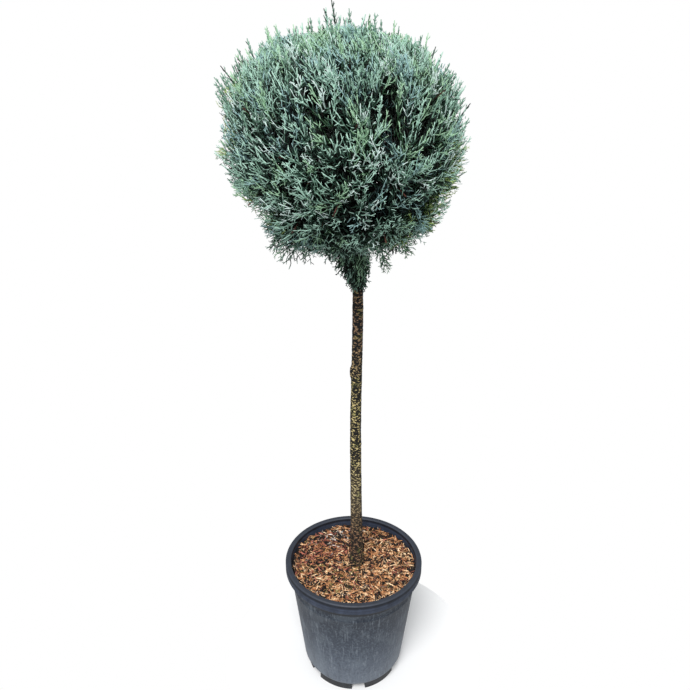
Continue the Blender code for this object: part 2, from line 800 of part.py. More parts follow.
def grow_twigs(masses):
    """Gives every mass the twigs, sprays, leaders and hanging sprays of its own space."""
    for mass in masses:
        mass["twigs"] = []
        mass["strays"] = []
    for direction, chance in spray_sites():
        mass = max(masses, key=lambda mass: mass["axis"].dot(direction))
        mass["twigs"].append(sprays_at(direction, chance, mass))
    for stray in stray_sprays():
        shape = blade(*stray)
        for mass in masses:
            if fits(mass, shape):
                mass["strays"].append(shape)


def main():
    clear_scene()
    materials = {name: make_material(name) for name in COLOURS}
    make_pot(materials["pot"])
    make_soil(materials["soil"])
    make_mulch(materials["mulch"])
    trunk = add_object("trunk", trunk_shape(), materials["bark"])
    smooth(trunk)
    masses = mass_list()
    boughs = [make_bough(mass, materials["bark"]) for mass in masses if "step" in mass]
    limbs = []
    fat_trunk = trunk_shape(2 * GAP)
    limbs.append(BVHTree.FromPolygons(*fat_trunk))
    for bough in boughs:
        points = [vert.co.copy() for vert in bough.data.vertices]
        faces = [tuple(face.vertices) for face in bough.data.polygons]
        limbs.append(BVHTree.FromPolygons(points, faces))
    grow_twigs(masses)
    for mass in masses:
        make_mass(mass, limbs, materials["foliage"])
    make_collar(limbs, materials["foliage"])


main()
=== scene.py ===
"""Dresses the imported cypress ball: fine foliage, bark, mulch and a weathered pot.

Metres, +Z up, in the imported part's own frame. Every piece rides on the one body, "root".
"""

import math

import bpy
import numpy as np
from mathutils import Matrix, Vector, noise


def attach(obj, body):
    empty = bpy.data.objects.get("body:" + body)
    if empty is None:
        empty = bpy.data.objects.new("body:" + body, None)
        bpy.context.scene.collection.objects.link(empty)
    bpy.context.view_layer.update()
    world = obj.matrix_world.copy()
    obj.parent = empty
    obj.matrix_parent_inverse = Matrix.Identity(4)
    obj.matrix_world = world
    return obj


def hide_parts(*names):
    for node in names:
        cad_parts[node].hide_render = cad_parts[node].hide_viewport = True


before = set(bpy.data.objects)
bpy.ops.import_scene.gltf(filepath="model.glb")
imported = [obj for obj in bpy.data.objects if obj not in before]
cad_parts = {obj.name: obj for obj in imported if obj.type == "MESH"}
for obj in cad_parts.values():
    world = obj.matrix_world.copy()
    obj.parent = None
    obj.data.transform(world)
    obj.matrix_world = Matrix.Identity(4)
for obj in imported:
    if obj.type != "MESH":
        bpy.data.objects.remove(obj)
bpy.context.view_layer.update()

BODY = "root"
UP = np.array((0.0, 0.0, 1.0))
GOLDEN_TURN = math.radians(137.508)
GAP = 0.0003  # clear space between solids that meet

# Pot
POT_SIDES = 144
POT_HEIGHT = 0.300
POT_RADIUS = 0.165  # outside of the lip
LIP_HEIGHT = 0.024
LIP_BASE = POT_HEIGHT - LIP_HEIGHT
LIP_WIDTH = 0.0135
LIP_ROUND = 0.004
LIP_BEVEL = 0.002
WALL = 0.003
WALL_TOP_RADIUS = 0.1535
SHOULDER_RADIUS = 0.1235
SHOULDER_HEIGHT = 0.032
SHOULDER_ROUND = 0.25  # how far the slope under it bulges, of the slope's width
FOOT_RADIUS = 0.1135
FOOT_HEIGHT = 0.016
BASE_THICK = 0.019
DRAIN_COUNT = 6
DRAIN_WIDTH = 0.032
DRAIN_FIRST = math.radians(-84)
DRAIN_INNER = 0.060
BAND_HEIGHT = 0.012  # of the slightly thicker band under the lip
BAND_RISE = 0.0008
BAND_SLOPE = 0.0015
UNDERCUT = 0.0005  # of the wall, right under the lip
UNDERCUT_HEIGHT = 0.002
SEAM_HEIGHT = 0.240  # of the faint moulding line
SEAM_RISE = 0.0004
SEAM_HALF = 0.0012
WALL_HEIGHTS = (0.09, 0.15, 0.20)  # of the rings between the turn and the seam
TURN_STEPS = 6
FOOT_INSET = 0.002
AXIS = 1e-5  # radius of the smallest ring, so that every face round it has four corners
POT_SHARP = math.radians(35)

# Mulch
SOIL_TOP = 0.262
MULCH_TOP = 0.284
MULCH_RISE = 0.003
MULCH_GRAIN = 0.022
MULCH_EDGE = 6
BED_RINGS = 40
BED_SIDES = 120
BED_DROP = 0.0022  # how far the fines lie under the mulch's top
GRIT_GRAIN = 0.004
GRIT_RISE = 0.0010
CHIPS = 5400
CHIP_LENGTH = (0.011, 0.030)
CHIP_WIDTH = (0.0014, 0.0030)
CHIP_THICK = (0.0014, 0.0026)
CHIP_TILT = math.radians(26)
CHIP_ROLL = 0.9
CHIP_UNEVEN = 0.45
CHIP_EDGE = 0.003  # between the pot and the chips' middles
CHIP_PAST_EDGE = 0.002  # how far an end may pass that
CHIP_STAND = 0.006  # how far a corner may stand above or below the middle
SHADED_FLANKS = 0.5  # chips with one flank in painted shade
SHADED_BELOW = 0.5  # of the sink, below which most chips are painted dark, as shade
SHADED_SHARE = 0.9
CHIP_SINK = 0.0055  # how far the deepest lie under the mulch's top
STEM_ROOM = 0.021  # kept free of chips round the trunk
CHIP_PLACES = (  # middle (x, y) and spread (x, y) of the back left, the pale patch, the front left
    (-0.075, 0.045, 0.06, 0.06),
    (-0.050, 0.095, 0.035, 0.026),
    (-0.055, -0.075, 0.07, 0.05),
)

# Trunk and boughs
TRUNK_SIDES = 48
TRUNK_RINGS = 420
TRUNK_FOOT = 0.2843
TRUNK_TOP = 1.372
TRUNK_ROUTE = (
    (0.0078, 0.000, TRUNK_FOOT),
    (0.0030, 0.002, 0.640),
    (0.0056, 0.000, 0.953),
    (-0.004, -0.002, 1.170),
    (-0.022, 0.001, TRUNK_TOP),
)
FLARE_RADIUS = 0.0190
FLARE_HEIGHT = 0.030
FLUTES = 5
FLUTE_DEPTH = 0.07
STEM_RADIUS = 0.0152
NECK_RADIUS = 0.0112
NECK_HEIGHT = 0.960
NECK_TAPER = 0.6
TIP_RADIUS = 0.0042
SMOOTH_BELOW = 0.40  # height up to which the bark's relief is half as high
ROUGHENING = 0.2  # over this much height it grows to the full
PLATE_SIZE = (0.0062, 0.0042)  # across the stem and along it
PLATE_SLANT = 0.25
PLATE_RISE = 0.0007
CRACK_WIDTH = 0.09
CRACK_DEPTH = 0.0009
SWELL_SIZE = (0.02, 0.03)
SWELL_RISE = 0.0005
BOUGH_BUMP = 0.12
BOUGH_GRAIN = 0.004
KNOTS = (  # height, azimuth (degrees), size, rise
    (0.793, 183, 0.0045, 0.0030), (0.785, 183, 0.0050, 0.0034), (0.777, 184, 0.0050, 0.0028),
    (0.930, 20, 0.0070, 0.0008), (0.700, -60, 0.0050, 0.0010), (0.610, -20, 0.0060, 0.0010),
    (0.520, -120, 0.0050, 0.0009), (0.455, -75, 0.0060, 0.0008), (0.360, 190, 0.0060, 0.0012),
)

# Crown, with the same places and rule as the solids it stands for
CROWN_CENTRE = np.array((-0.024, 0.0, 1.245))
CROWN_RADIUS = 0.238
CROWN_RISE = 0.205
CROWN_SQUARE = 2.4
EDGE_HALVINGS = 14
HOLLOWS = (  # azimuth and elevation (degrees), spread, depth; a swell's depth is below zero
    (-166, -33, 13, 0.13), (170, -40, 24, 0.10), (-153, -52, 13, -0.07), (-26, -48, 15, -0.05),
    (-8, -22, 9, 0.06), (70, 40, 30, 0.05), (174, 17, 8, -0.08), (-178, -1, 8, -0.05),
    (-175, -14, 8, -0.06), (0, -2, 8, -0.05), (4, 14, 9, -0.03), (19, 42, 22, 0.02),
)
LUMPS = 52  # the crown's clumps
LUMP_BAND = 0.97  # sine of the elevation of the highest and the lowest
LUMP_SPREAD = 10  # degrees
LUMP_RISE = 0.060
CORE_HOLLOW = 0.070
TIERS = (  # name, masses, elevation and first azimuth (degrees), a bough's rise
    ("lower", 4, -47, 40, 0.012),
    ("middle", 5, -4, 18, 0.034),
    ("upper", 4, 36, -8, 0.040),
)
BOUGH_STEP = 0.013
BOUGH_ROOT_SHARE = 0.52
BOUGH_TIP_SHARE = 0.70
BOUGH_BEND = 0.55
BOUGH_SIDES = 16
STEM_STUB = 0.010
STEM_LEVEL = 0.3

# Shoots and sprays
SHOOTS = 660
SITE_JITTER = 0.06
ROOT_SHARE = 0.60
LIFT_EVERYWHERE = 0.10
LIFT_BY_HEIGHT = 0.55
LIFT_ON_TOP = 0.60
WANDER = 0.26
SIDE_ROLL = 0.4
SHOOT_REACH = (0.86, 1.0)  # of the way to the crown's edge
SPRAY_TURN = 0.5  # radians either way
SPRAY_LEAN = (0.7, 1.2)
SPRAY_LENGTH = (0.036, 0.052)
SHORTEST_SPRAY = 0.014
TINT_PATCH = 0.075  # size of the patches of one tint
DEEP_BELOW = -0.75  # of the crown's rise, under which more sprays take the dark deep tint, as painted shade
DEEP_SHARES = (0.5, 0.13)  # under that, and over it
YELLOW_SHARE = 0.60  # of the sprays in a yellow patch
YELLOW_PATCHES = (  # azimuth, elevation and half width (degrees)
    (174, 16, 13), (180, 0, 10), (-156, -42, 13), (-14, -16, 12), (-24, -36, 13),
    (-110, -5, 4), (60, 10, 6), (110, -20, 6), (120, 35, 5),
)
SPRAY_LIFT = 0.42  # how much more upright a spray grows halfway down the crown
UPTURN = 0.34  # how far a spray curves up, in its own lengths
SHOOT_SPRAYS = (  # turn about the shoot, lean off it (degrees), where along it the spray starts
    (0, 66, 0.20),
    (137, 58, 0.38),
    (275, 50, 0.50),
    (52, 42, 0.60),
    (0, 8, 0.52),
)
CORD_RADIUS = 0.00105
CORD_BEND = 0.42  # of a side cord's length, where it turns forward
PATTERNS = 10
SPRAY_SWAY = 0.03  # of its stem, in the spray's lengths
SPRAY_FLATNESS = 0.85
FIRST_PAIR = 0.06  # place along the spray
PAIR_SPAN = 0.88  # from the first pair of cords to the last
CORD_LENGTH = (0.78, 1.15)  # of the reach of its pair
CORD_TURN = (0.25, 0.75)  # of its first lean, past its bend
FORK_START = (-0.1, 0.25)  # past the bend, of the rest of the cord
FORK_STEP = 0.42
FORK_LEAN = (0.75, 1.25)
FORK_LENGTH = (0.30, 0.46)  # of its cord's
FORK_THICK = 0.92
CORD_MIDDLE = 0.95  # of a cord's radius, at its bend
CORD_END = 0.6  # and at its end
EDGE_LEAVE = 1.03  # of the crown's reach, where cords stop
VALLEY_SHADE = 0.075  # painted shade: how much deeper cords between clumps look
UNDER_SHADE = 0.12  # painted shade: how much deeper those right underneath look
UNDER_START = -0.45  # sine of the elevation where that begins
DAYLIGHT_LOSS = 0.06  # the mean of the painted shade drawn at random for each cord
SHADE_DEPTH = 0.775  # of the crown's reach: deeper parts of a cord are painted dark, as shade
LIGHT_DEPTH = 0.845  # and those beyond this are painted light
FILLERS = 300  # coarse sprays deep in the crown, near-black as painted shade
FILLER_JITTER = 0.08
FILLER_THICK = 2.0
FILLER_DEPTH = (0.42, 0.70)
FILLER_SINK = 0.28  # how much nearer the surface they lie at the crown's foot
FILLER_LENGTH = (0.05, 0.07)

# Leaders, hanging sprays and the collar
STRAY_BEND = 0.05
LEADER_TIPS = (  # across the crown (x), and how high at its middle
    (-0.042, 1.494), (-0.011, 1.480), (0.008, 1.473), (0.020, 1.462), (0.049, 1.462),
    (0.076, 1.453), (0.130, 1.442), (0.156, 1.412), (0.178, 1.378), (0.196, 1.359),
    (-0.069, 1.467), (-0.084, 1.467), (-0.098, 1.459), (-0.119, 1.454), (-0.140, 1.448),
    (-0.162, 1.448), (-0.190, 1.435), (-0.209, 1.419), (-0.228, 1.398), (-0.244, 1.390),
    (-0.252, 1.371), (-0.238, 1.381),
)
LEADER_LENGTH = 0.085
LEADER_STEEP = 2.0
LEADER_DEPTH = (-0.045, 0.035)
LEADER_BACK = 0.17  # how much higher a tip stands for each metre further back
PLUMES = 2  # lower sprays beside each leader of the table
PLUME_ASIDE = (0.006, 0.016)
PLUME_DROP = (0.012, 0.034)
PLUME_LEAN = 12  # of its outward part, for each metre aside
MORE_LEADERS = 90
LEADER_BAND = (0.20, 0.98)
LEADER_RISE = (0.006, 0.028)
HANGER_TIPS = ((-0.152, 1.062), (-0.130, 1.046), (-0.100, 1.052), (0.052, 1.028), (0.098, 1.056))
HANGER_LENGTH = 0.060
HANGER_STEEP = 0.92
HANGER_BUNDLE = 3
HANGER_SPREAD = 0.008
HANGER_DEPTH = (-0.07, -0.03)
COLLAR_LOW = 0.986
COLLAR_TOP = 1.100
COLLAR_LOW_RADIUS = 0.0085
COLLAR_TOP_RADIUS = 0.035
COLLAR_SPRAYS = 110
COLLAR_THICK = 1.2
COLLAR_LENGTH = (0.024, 0.046)  # at its foot and at its top
COLLAR_INSIDE = 0.6  # of the collar's radius, where every other spray starts, one painted dark as shade
COLLAR_LEAN = (-0.018, 0.0)  # how far its top stands off the trunk's middle

# Twigs in the crown
TWIG_SIDES = 5
TWIG_RADIUS = 0.0013
TWIG_END = 0.0005
TWIG_SHARE = 0.75  # of its shoot's length
OLD_TWIG_EVERY = 12  # one shoot in so many shows a thicker, redder twig
OLD_TWIG_RADIUS = 0.0016
OLD_TWIG_SHARE = 0.97
GROUP_SHOOTS = 6  # shoots to one limb inside a mass
GROUP_SHARE = 0.44  # of the crown's reach, where that limb forks
LIMB_RADIUS = 0.0028
LIMB_SAG = 0.006
BRANCH_RADIUS = 0.0018
BRANCH_SAG = 0.004

# Floor
FLOOR_RADIUS = 0.32
FLOOR_SIDES = 96
FLOOR_DROP = 0.0002  # below the pot's underside
FLOOR_COLOUR = (240, 240, 240)

# Photograph's camera
IMAGE_SIDE = 690
FOCAL_PIXELS = 600
CAMERA_PLACE = (-0.0209, -1.2017, 1.2797)
CAMERA_TILT = 0.3456
SENSOR = 36

# Studio light
WHITE = (1, 1, 1, 1)
SKY_COLOUR = (0.95, 0.98, 1, 1)
SKY_STRENGTH = 0.46
SUN_STRENGTH = 3.2
SUN_SPREAD = 28
SUN_LEAN = (36, -10, 0)

FOLIAGE_TINTS = {  # lit and shaded copies of each tint: painted shade for cords deep in the crown, middling nearer its surface, and painted light outermost
    "glaucous": ((12, 20, 15), (55, 86, 71), (184, 222, 204)),
    "green": ((12, 21, 13), (54, 88, 60), (172, 212, 176)),
    "blue": ((12, 18, 20), (50, 77, 76), (160, 197, 195)),
    "pale": ((17, 26, 21), (84, 118, 102), (226, 246, 240)),
    "yellow": ((26, 34, 16), (88, 116, 62), (176, 200, 124)),
    "deep": ((9, 15, 11), (40, 62, 49), (130, 168, 148)),
    # the inner tint is near-black in all three copies: painted shade inside the crown and the
    # collar
    "inner": ((10, 15, 11), (16, 24, 18), (30, 42, 34)),
}
TINTS = {name: place for place, name in enumerate(FOLIAGE_TINTS)}
STRAY_TINTS = [TINTS[name] for name in ("glaucous", "green", "deep", "deep")]
BARK_STOPS = (0.50, 0.545, 0.58)
BARK_COLOURS = (  # dark, middling and light, from the trunk's foot to its top
    ((26, 18, 14), (52, 39, 30), (160, 122, 90)),
    ((66, 56, 42), (104, 91, 66), (190, 176, 134)),
    ((8, 6, 4), (46, 37, 21), (226, 206, 142)),
    ((3, 1, 1), (9, 4, 4), (176, 140, 108)),
)
BARK_CHANGES = ((0.36, 0.50), (0.42, 0.62), (0.70, 0.88))  # heights where each gives way
BARK_CELLS = (185, 4, 0.6, (0.9, 0.9, 1.7))  # scale, detail, roughness and stretch of a noise
BARK_CRACKING = (260, 3, 0.5, (1, 1, 1.7))
CRACKS_GROW = (0.15, 0.75)  # heights between which cracks come to show
BARK_CRACKS = (22, 16, 12)
BARK_LICHEN = (134, 138, 72)
TWIG_STOPS = (0.35, 0.52, 0.68)
TWIG_COLOURS = ((30, 20, 15), (58, 36, 28), (84, 60, 42))
OLD_TWIG_COLOURS = ((40, 20, 17), (84, 42, 35), (130, 82, 66))
WALL_STOPS = (0.0, 0.45, 1.0)
WALL_COLOURS = ((92, 101, 114), (62, 71, 85), (33, 41, 54))  # from the pot's foot to its lip: lighter low down, a painted reflection of the pale floor, and darker under the lip, painted shade
WALL_SHADED = 0.27  # height from which the wall has the last of them
MOTTLE = (200, 5, 0.6)  # scale, detail and roughness of a noise; others have a stretch too
WALL_MARKS = (  # noise; where in it each mark starts and is full, how strong it is, its colour
    (MOTTLE, ((0.50, 0.64, 0.30, (116, 126, 135)), (0.49, 0.36, 0.40, (22, 28, 40)))),
    ((16, 4, 0.6), ((0.50, 0.68, 0.30, (108, 118, 127)),)),
    ((1, 5, 0.7, (220, 220, 12)), ((0.54, 0.66, 0.45, (129, 138, 147)),)),
    ((1, 3, 0.6, (34, 34, 3)), ((0.55, 0.68, 0.30, (110, 121, 133)),)),
    ((1, 3, 0.6, (34, 34, 3)), ((0.46, 0.34, 0.30, (35, 42, 55)),)),
    ((1, 3, 0.5, (14, 14, 520)), ((0.67, 0.74, 0.35, (136, 144, 151)),)),
)
LIP_STOPS = (0.3, 0.7)
LIP_TOP_COLOURS = ((9, 13, 22), (25, 31, 44))
LIP_FACE_COLOURS = ((38, 46, 62), (62, 71, 90))
LIP_HIGHLIGHT_LINE = (POT_HEIGHT - 0.0012, 0.0009)  # height and half width of the painted highlight along the lip's edge
LIP_HIGHLIGHT = (130, 140, 158)
LIP_FACE = (LIP_BASE + 0.012, LIP_BASE + 0.018)  # heights where the face gives way to the dark top
# a dark line across the lip's face, and the painted shadow under the lip: height, half width and
# strength of each
LINE_AND_SHADOW_COLOUR = (14, 18, 28)
FACE_LINE_AND_SHADOW = ((LIP_BASE + 0.009, 0.0008, 0.3), (LIP_BASE - BAND_HEIGHT - 0.001, 0.0028, 0.85))
FOOT_STOPS = (0.35, 0.7)
FOOT_COLOURS = ((14, 16, 20), (34, 38, 44))
SOIL_STOPS = (0.40, 0.75)
SOIL_COLOURS = ((12, 9, 7), (44, 32, 25))
CHIP_STOPS = (0.42, 0.60)
CHIP_TINTS = (  # dark and light of the grain
    ((150, 96, 58), (212, 154, 104)),
    ((204, 152, 106), (254, 222, 178)),
    ((118, 62, 48), (190, 114, 94)),
    ((14, 9, 8), (40, 27, 22)),
    ((180, 160, 148), (255, 246, 236)),
    ((98, 84, 42), (158, 140, 80)),
    ((86, 74, 68), (148, 132, 122)),
)
DARK_CHIP = 3  # the fourth of them; also the colour of painted shade on sunk chips and shaded flanks


# ---- small helpers


def normal(vectors):
    return vectors / np.linalg.norm(vectors, axis=-1, keepdims=True)


def linear(colour):
    """Scene-linear RGBA of a screen colour from 0 to 255."""
    values = [c / 255 for c in colour]
    return [c / 12.92 if c <= 0.04045 else ((c + 0.055) / 1.055) ** 2.4 for c in values] + [1.0]


def placed(name, data):
    """An object of this data, in the scene."""
    made = bpy.data.objects.new(name, data)
    bpy.context.scene.collection.objects.link(made)
    return made


def mesh_object(name, points, faces, materials):
    mesh = bpy.data.meshes.new(name)
    mesh.from_pydata(points, [], faces)
    for material in materials:
        mesh.materials.append(material)
    return placed(name, mesh)


def add_piece(name, points, faces, materials, slots=None, smooth=True):
    """A mesh object that rides on the body."""
    piece = mesh_object(name, points, faces, materials)
    if slots is not None:
        piece.data.polygons.foreach_set("material_index", slots)
    if smooth:
        piece.data.shade_smooth()
    piece.data.update()
    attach(piece, BODY)
    return piece


def joined(shapes):
    """One set of points and faces from several."""
    points, faces, start = [], [], 0
    for shape_points, shape_faces in shapes:
        points.append(np.asarray(shape_points, dtype=float))
        faces.append(np.asarray(shape_faces) + start)
        start += len(shape_points)
    return np.concatenate(points), np.concatenate(faces)


def arc(across, up, radius, start, end, steps):
    """Points of an upright arc in a profile, in degrees from level outwards."""
    angles = [math.radians(start + (end - start) * k / steps) for k in range(steps + 1)]
    return [(across + radius * math.cos(a), up + radius * math.sin(a)) for a in angles]


def circle(sides):
    """Points of a unit circle, one to a row."""
    turns = np.arange(sides) * math.tau / sides
    return np.stack((np.cos(turns), np.sin(turns)), axis=1)


def spokes(side, other, sides):
    """Directions all round each limb, first its side, then by way of its other."""
    rounds = circle(sides)
    return side[:, None] * rounds[:, :1] + other[:, None] * rounds[:, 1:]


def ring_faces(rings, sides):
    """Quads between each ring of points and the next."""
    faces = []
    for low in range(0, (rings - 1) * sides, sides):
        high = low + sides
        for k in range(sides):
            after = (k + 1) % sides
            faces.append((low + k, low + after, high + after, high + k))
    return faces


def turned(profile, sides):
    """A profile of (radius, height) turned about the upright axis, as quads."""
    rounds = circle(sides)
    points = [np.column_stack((rounds * out, np.full(sides, up))) for out, up in profile]
    return np.concatenate(points), ring_faces(len(profile), sides)


def tube(route, radii, sides):
    """A limb of quads along a route; its last ring is its end."""
    route, radii = np.asarray(route), np.asarray(radii)
    along = normal(np.gradient(route, axis=0))
    side = normal(np.cross(along, UP + 0.3 * along[:, ::-1]))
    other = np.cross(along, side)
    points = (route[:, None] + spokes(side, other, sides) * radii[:, None, None]).reshape(-1, 3)
    return points, np.array(ring_faces(len(route), sides))


def bent(start, middle, end, steps):
    """Points along a curve from start to end, pulled towards middle."""
    share = np.linspace(0, 1, steps)[:, None]
    return start * (1 - share) ** 2 + middle * 2 * share * (1 - share) + end * share**2


# ---- materials


class Graph:
    """The nodes of one material, added in short calls."""

    def __init__(self, name, roughness, specular=0.5):
        self.material = bpy.data.materials.new(name)
        self.material.use_nodes = True
        self.tree = self.material.node_tree
        self.shader = self.tree.nodes["Principled BSDF"]
        self.feed(self.shader.inputs["Roughness"], roughness)
        self.feed(self.shader.inputs["Specular IOR Level"], specular)
        self.place = self.add("ShaderNodeTexCoord").outputs["Object"]

    def add(self, kind, settings=None, **inputs):
        node = self.tree.nodes.new(kind)
        for key, value in (settings or {}).items():
            setattr(node, key, value)
        for key, value in inputs.items():
            self.feed(node.inputs[key.replace("_", " ")], value)
        return node

    def feed(self, socket, value):
        if isinstance(value, bpy.types.NodeSocket):
            self.tree.links.new(value, socket)
        else:
            socket.default_value = value

    def stretched(self, scale):
        """The place, with each axis scaled."""
        return self.add("ShaderNodeMapping", Vector=self.place, Scale=scale).outputs[0]

    def noise(self, scale, detail=4.0, rough=0.55, stretch=None):
        place = self.stretched(stretch) if stretch else self.place
        inputs = {"Scale": scale, "Detail": detail, "Roughness": rough}
        return self.add("ShaderNodeTexNoise", Vector=place, **inputs).outputs[0]

    def ramp(self, factor, stops, colours):
        """Screen colours at these stops, mixed between them."""
        node = self.add("ShaderNodeValToRGB", Fac=factor)
        places = node.color_ramp.elements
        while len(places) < len(stops):
            places.new(0.5)
        for element, stop, colour in zip(places, stops, colours):
            element.position = stop
            element.color = linear(colour)
        return node.outputs[0]

    def grey(self, factor, low, high):
        """0 under low, 1 over high, smooth between."""
        settings = {"interpolation_type": "SMOOTHSTEP"}
        limits = {"From_Min": low, "From_Max": high}
        return self.add("ShaderNodeMapRange", settings, Value=factor, **limits).outputs[0]

    def line(self, factor, middle, half):
        """1 within half of the middle, fading to 0 just beyond."""
        low = self.grey(factor, middle - 2 * half, middle - half)
        return self.times(low, self.grey(factor, middle + 2 * half, middle + half))

    def mix(self, factor, a, b):
        node = self.add("ShaderNodeMix", {"data_type": "RGBA"})
        for key, value in ((0, factor), (6, a), (7, b)):
            self.feed(node.inputs[key], value)
        return node.outputs[2]

    def marked(self, base, factor, share, colour):
        """The base under a screen colour, which is as strong as factor times share."""
        return self.mix(self.times(factor, share), base, linear(colour))

    def times(self, a, b):
        node = self.add("ShaderNodeMath", {"operation": "MULTIPLY"})
        self.feed(node.inputs[0], a)
        self.feed(node.inputs[1], b)
        return node.outputs[0]

    def height(self):
        return self.add("ShaderNodeSeparateXYZ", Vector=self.place).outputs[2]

    def bump(self, height, strength, distance):
        node = self.add("ShaderNodeBump", Height=height, Strength=strength, Distance=distance)
        self.feed(self.shader.inputs["Normal"], node.outputs[0])

    def colour(self, value):
        self.feed(self.shader.inputs["Base Color"], value)


def foliage_materials():
    """Three for each tint, lit and shaded copies: from painted shade for the crown's depth to
    painted light for the lightest ends.
    """
    materials = []
    for name, colours in FOLIAGE_TINTS.items():
        # shade is the painted shade copy, end the painted light copy, cord the middle one
        for part, colour in zip(("shade", "cord", "end"), colours):
            graph = Graph(f"{name}_{part}", roughness=0.55, specular=0.35)
            graph.colour(linear(colour))
            materials.append(graph.material)
    return materials


def bark_material():
    """Dark, knobbly bark: maroon under the crown, lichen halfway down, grey at the foot."""
    graph = Graph("bark", roughness=0.85)
    height = graph.height()
    cells = graph.noise(*BARK_CELLS)
    tones = [graph.ramp(cells, BARK_STOPS, colours) for colours in BARK_COLOURS]
    colour = tones[0]
    for tone, (low, high) in zip(tones[1:], BARK_CHANGES):
        colour = graph.mix(graph.grey(height, low, high), colour, tone)
    cracks = graph.grey(graph.noise(*BARK_CRACKING), 0.45, 0.37)
    colour = graph.marked(colour, cracks, graph.grey(height, *CRACKS_GROW), BARK_CRACKS)
    lichen = graph.times(graph.grey(graph.noise(52, 3), 0.56, 0.68), graph.grey(cells, 0.45, 0.60))
    graph.colour(graph.marked(colour, lichen, 0.5, BARK_LICHEN))
    graph.bump(graph.noise(420, 6, 0.65), 0.8, 0.0012)
    return graph.material


def pot_material():
    """Blue-grey plastic, lighter low down as a painted reflection of the floor and darker under
    the lip as painted shade, with streaks, scuffs and a dark, smooth lip.
    """
    graph = Graph("weathered_plastic", roughness=0.6)
    height = graph.height()
    # painted reflection low down, painted shade up under the lip
    wall = graph.ramp(graph.grey(height, 0.0, WALL_SHADED), WALL_STOPS, WALL_COLOURS)
    for settings, marks in WALL_MARKS:
        mottle = graph.noise(*settings)
        for low, high, share, colour in marks:
            wall = graph.marked(wall, graph.grey(mottle, low, high), share, colour)
    top = graph.ramp(graph.noise(60, 5), LIP_STOPS, LIP_TOP_COLOURS)
    # a painted highlight along the lip's top edge
    top = graph.marked(top, graph.line(height, *LIP_HIGHLIGHT_LINE), 0.12, LIP_HIGHLIGHT)
    face = graph.ramp(graph.noise(60, 5), LIP_STOPS, LIP_FACE_COLOURS)
    lip = graph.mix(graph.grey(height, *LIP_FACE), face, top)
    colour = graph.mix(graph.grey(height, LIP_BASE - 0.001, LIP_BASE), wall, lip)
    # the dark line on the lip's face and the painted shadow under the lip
    for middle, half, share in FACE_LINE_AND_SHADOW:
        colour = graph.marked(colour, graph.line(height, middle, half), share, LINE_AND_SHADOW_COLOUR)
    graph.colour(colour)
    worn = graph.add("ShaderNodeMapRange", Value=graph.noise(*MOTTLE), To_Min=0.45, To_Max=0.75)
    graph.feed(graph.shader.inputs["Roughness"], worn.outputs[0])
    graph.bump(graph.noise(380, 5, 0.6), 0.25, 0.0006)
    return graph.material


def mottled(name, roughness, tone, stops, colours, grain, relief):
    """A material with its colours along one noise, and its relief along another."""
    graph = Graph(name, roughness)
    graph.colour(graph.ramp(graph.noise(*tone), stops, colours))
    graph.bump(graph.noise(*grain), *relief)
    return graph.material


def twig_material(name, colours):
    return mottled(name, 0.7, (55, 3), TWIG_STOPS, colours, (600, 3), (0.4, 0.0003))


def foot_material():
    return mottled("foot_plastic", 0.5, (90, 4), FOOT_STOPS, FOOT_COLOURS, (300, 4), (0.2, 0.0005))


def soil_material():
    return mottled("dark_soil", 0.95, (160, 6), SOIL_STOPS, SOIL_COLOURS, (260, 6), (0.8, 0.002))


def chip_material(number, colours):
    name = f"bark_chip_{number}"
    return mottled(name, 0.85, (120, 3, 0.6), CHIP_STOPS, colours, (700, 3), (0.5, 0.0004))


# ---- pot, soil and mulch


def inner_radius(height):
    share = (height - SHOULDER_HEIGHT) / (LIP_BASE - SHOULDER_HEIGHT)
    return SHOULDER_RADIUS + (WALL_TOP_RADIUS - SHOULDER_RADIUS) * share - WALL


def outer_radius(height):
    return inner_radius(height) + WALL


def base_turn(inset):
    """The slope from the foot out to the wall, moved in by inset and bulging a little."""
    low = FOOT_HEIGHT if inset == 0 else BASE_THICK
    width = SHOULDER_RADIUS - FOOT_RADIUS
    rows = []
    for n in range(TURN_STEPS + 1):
        share = n / TURN_STEPS
        out = width * (share + SHOULDER_ROUND * share * (1 - share))
        rows.append((FOOT_RADIUS - inset + out, low + (SHOULDER_HEIGHT - low) * share))
    return rows


def make_pot():
    lip_inside = POT_RADIUS - LIP_WIDTH
    seam = outer_radius(SEAM_HEIGHT)
    band = LIP_BASE - BAND_HEIGHT
    profile = [(AXIS, FOOT_HEIGHT), (FOOT_RADIUS - FOOT_INSET, FOOT_HEIGHT)] + base_turn(0)
    profile += [(outer_radius(height), height) for height in WALL_HEIGHTS]
    profile += [
        (seam, SEAM_HEIGHT - SEAM_HALF),
        (seam + SEAM_RISE, SEAM_HEIGHT),
        (seam, SEAM_HEIGHT + SEAM_HALF),
        (outer_radius(band), band),
        (outer_radius(band) + BAND_RISE, band + BAND_SLOPE),
        (WALL_TOP_RADIUS + BAND_RISE, LIP_BASE - UNDERCUT_HEIGHT),
        (WALL_TOP_RADIUS - UNDERCUT, LIP_BASE),
        (POT_RADIUS - LIP_BEVEL, LIP_BASE),
    ]
    profile += arc(POT_RADIUS - LIP_BEVEL, LIP_BASE + LIP_BEVEL, LIP_BEVEL, -70, 0, 4)
    profile += arc(POT_RADIUS - LIP_ROUND, POT_HEIGHT - LIP_ROUND, LIP_ROUND, 0, 90, 6)
    profile += arc(lip_inside + LIP_ROUND, POT_HEIGHT - LIP_ROUND, LIP_ROUND, 90, 180, 6)
    profile += [(WALL_TOP_RADIUS - WALL, LIP_BASE), *reversed(base_turn(WALL)), (AXIS, BASE_THICK)]
    points, faces = turned(profile, POT_SIDES)
    pot = add_piece("pot_shell", points, faces, [pot_material()])
    pot.data.set_sharp_from_angle(angle=POT_SHARP)
    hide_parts("pot")


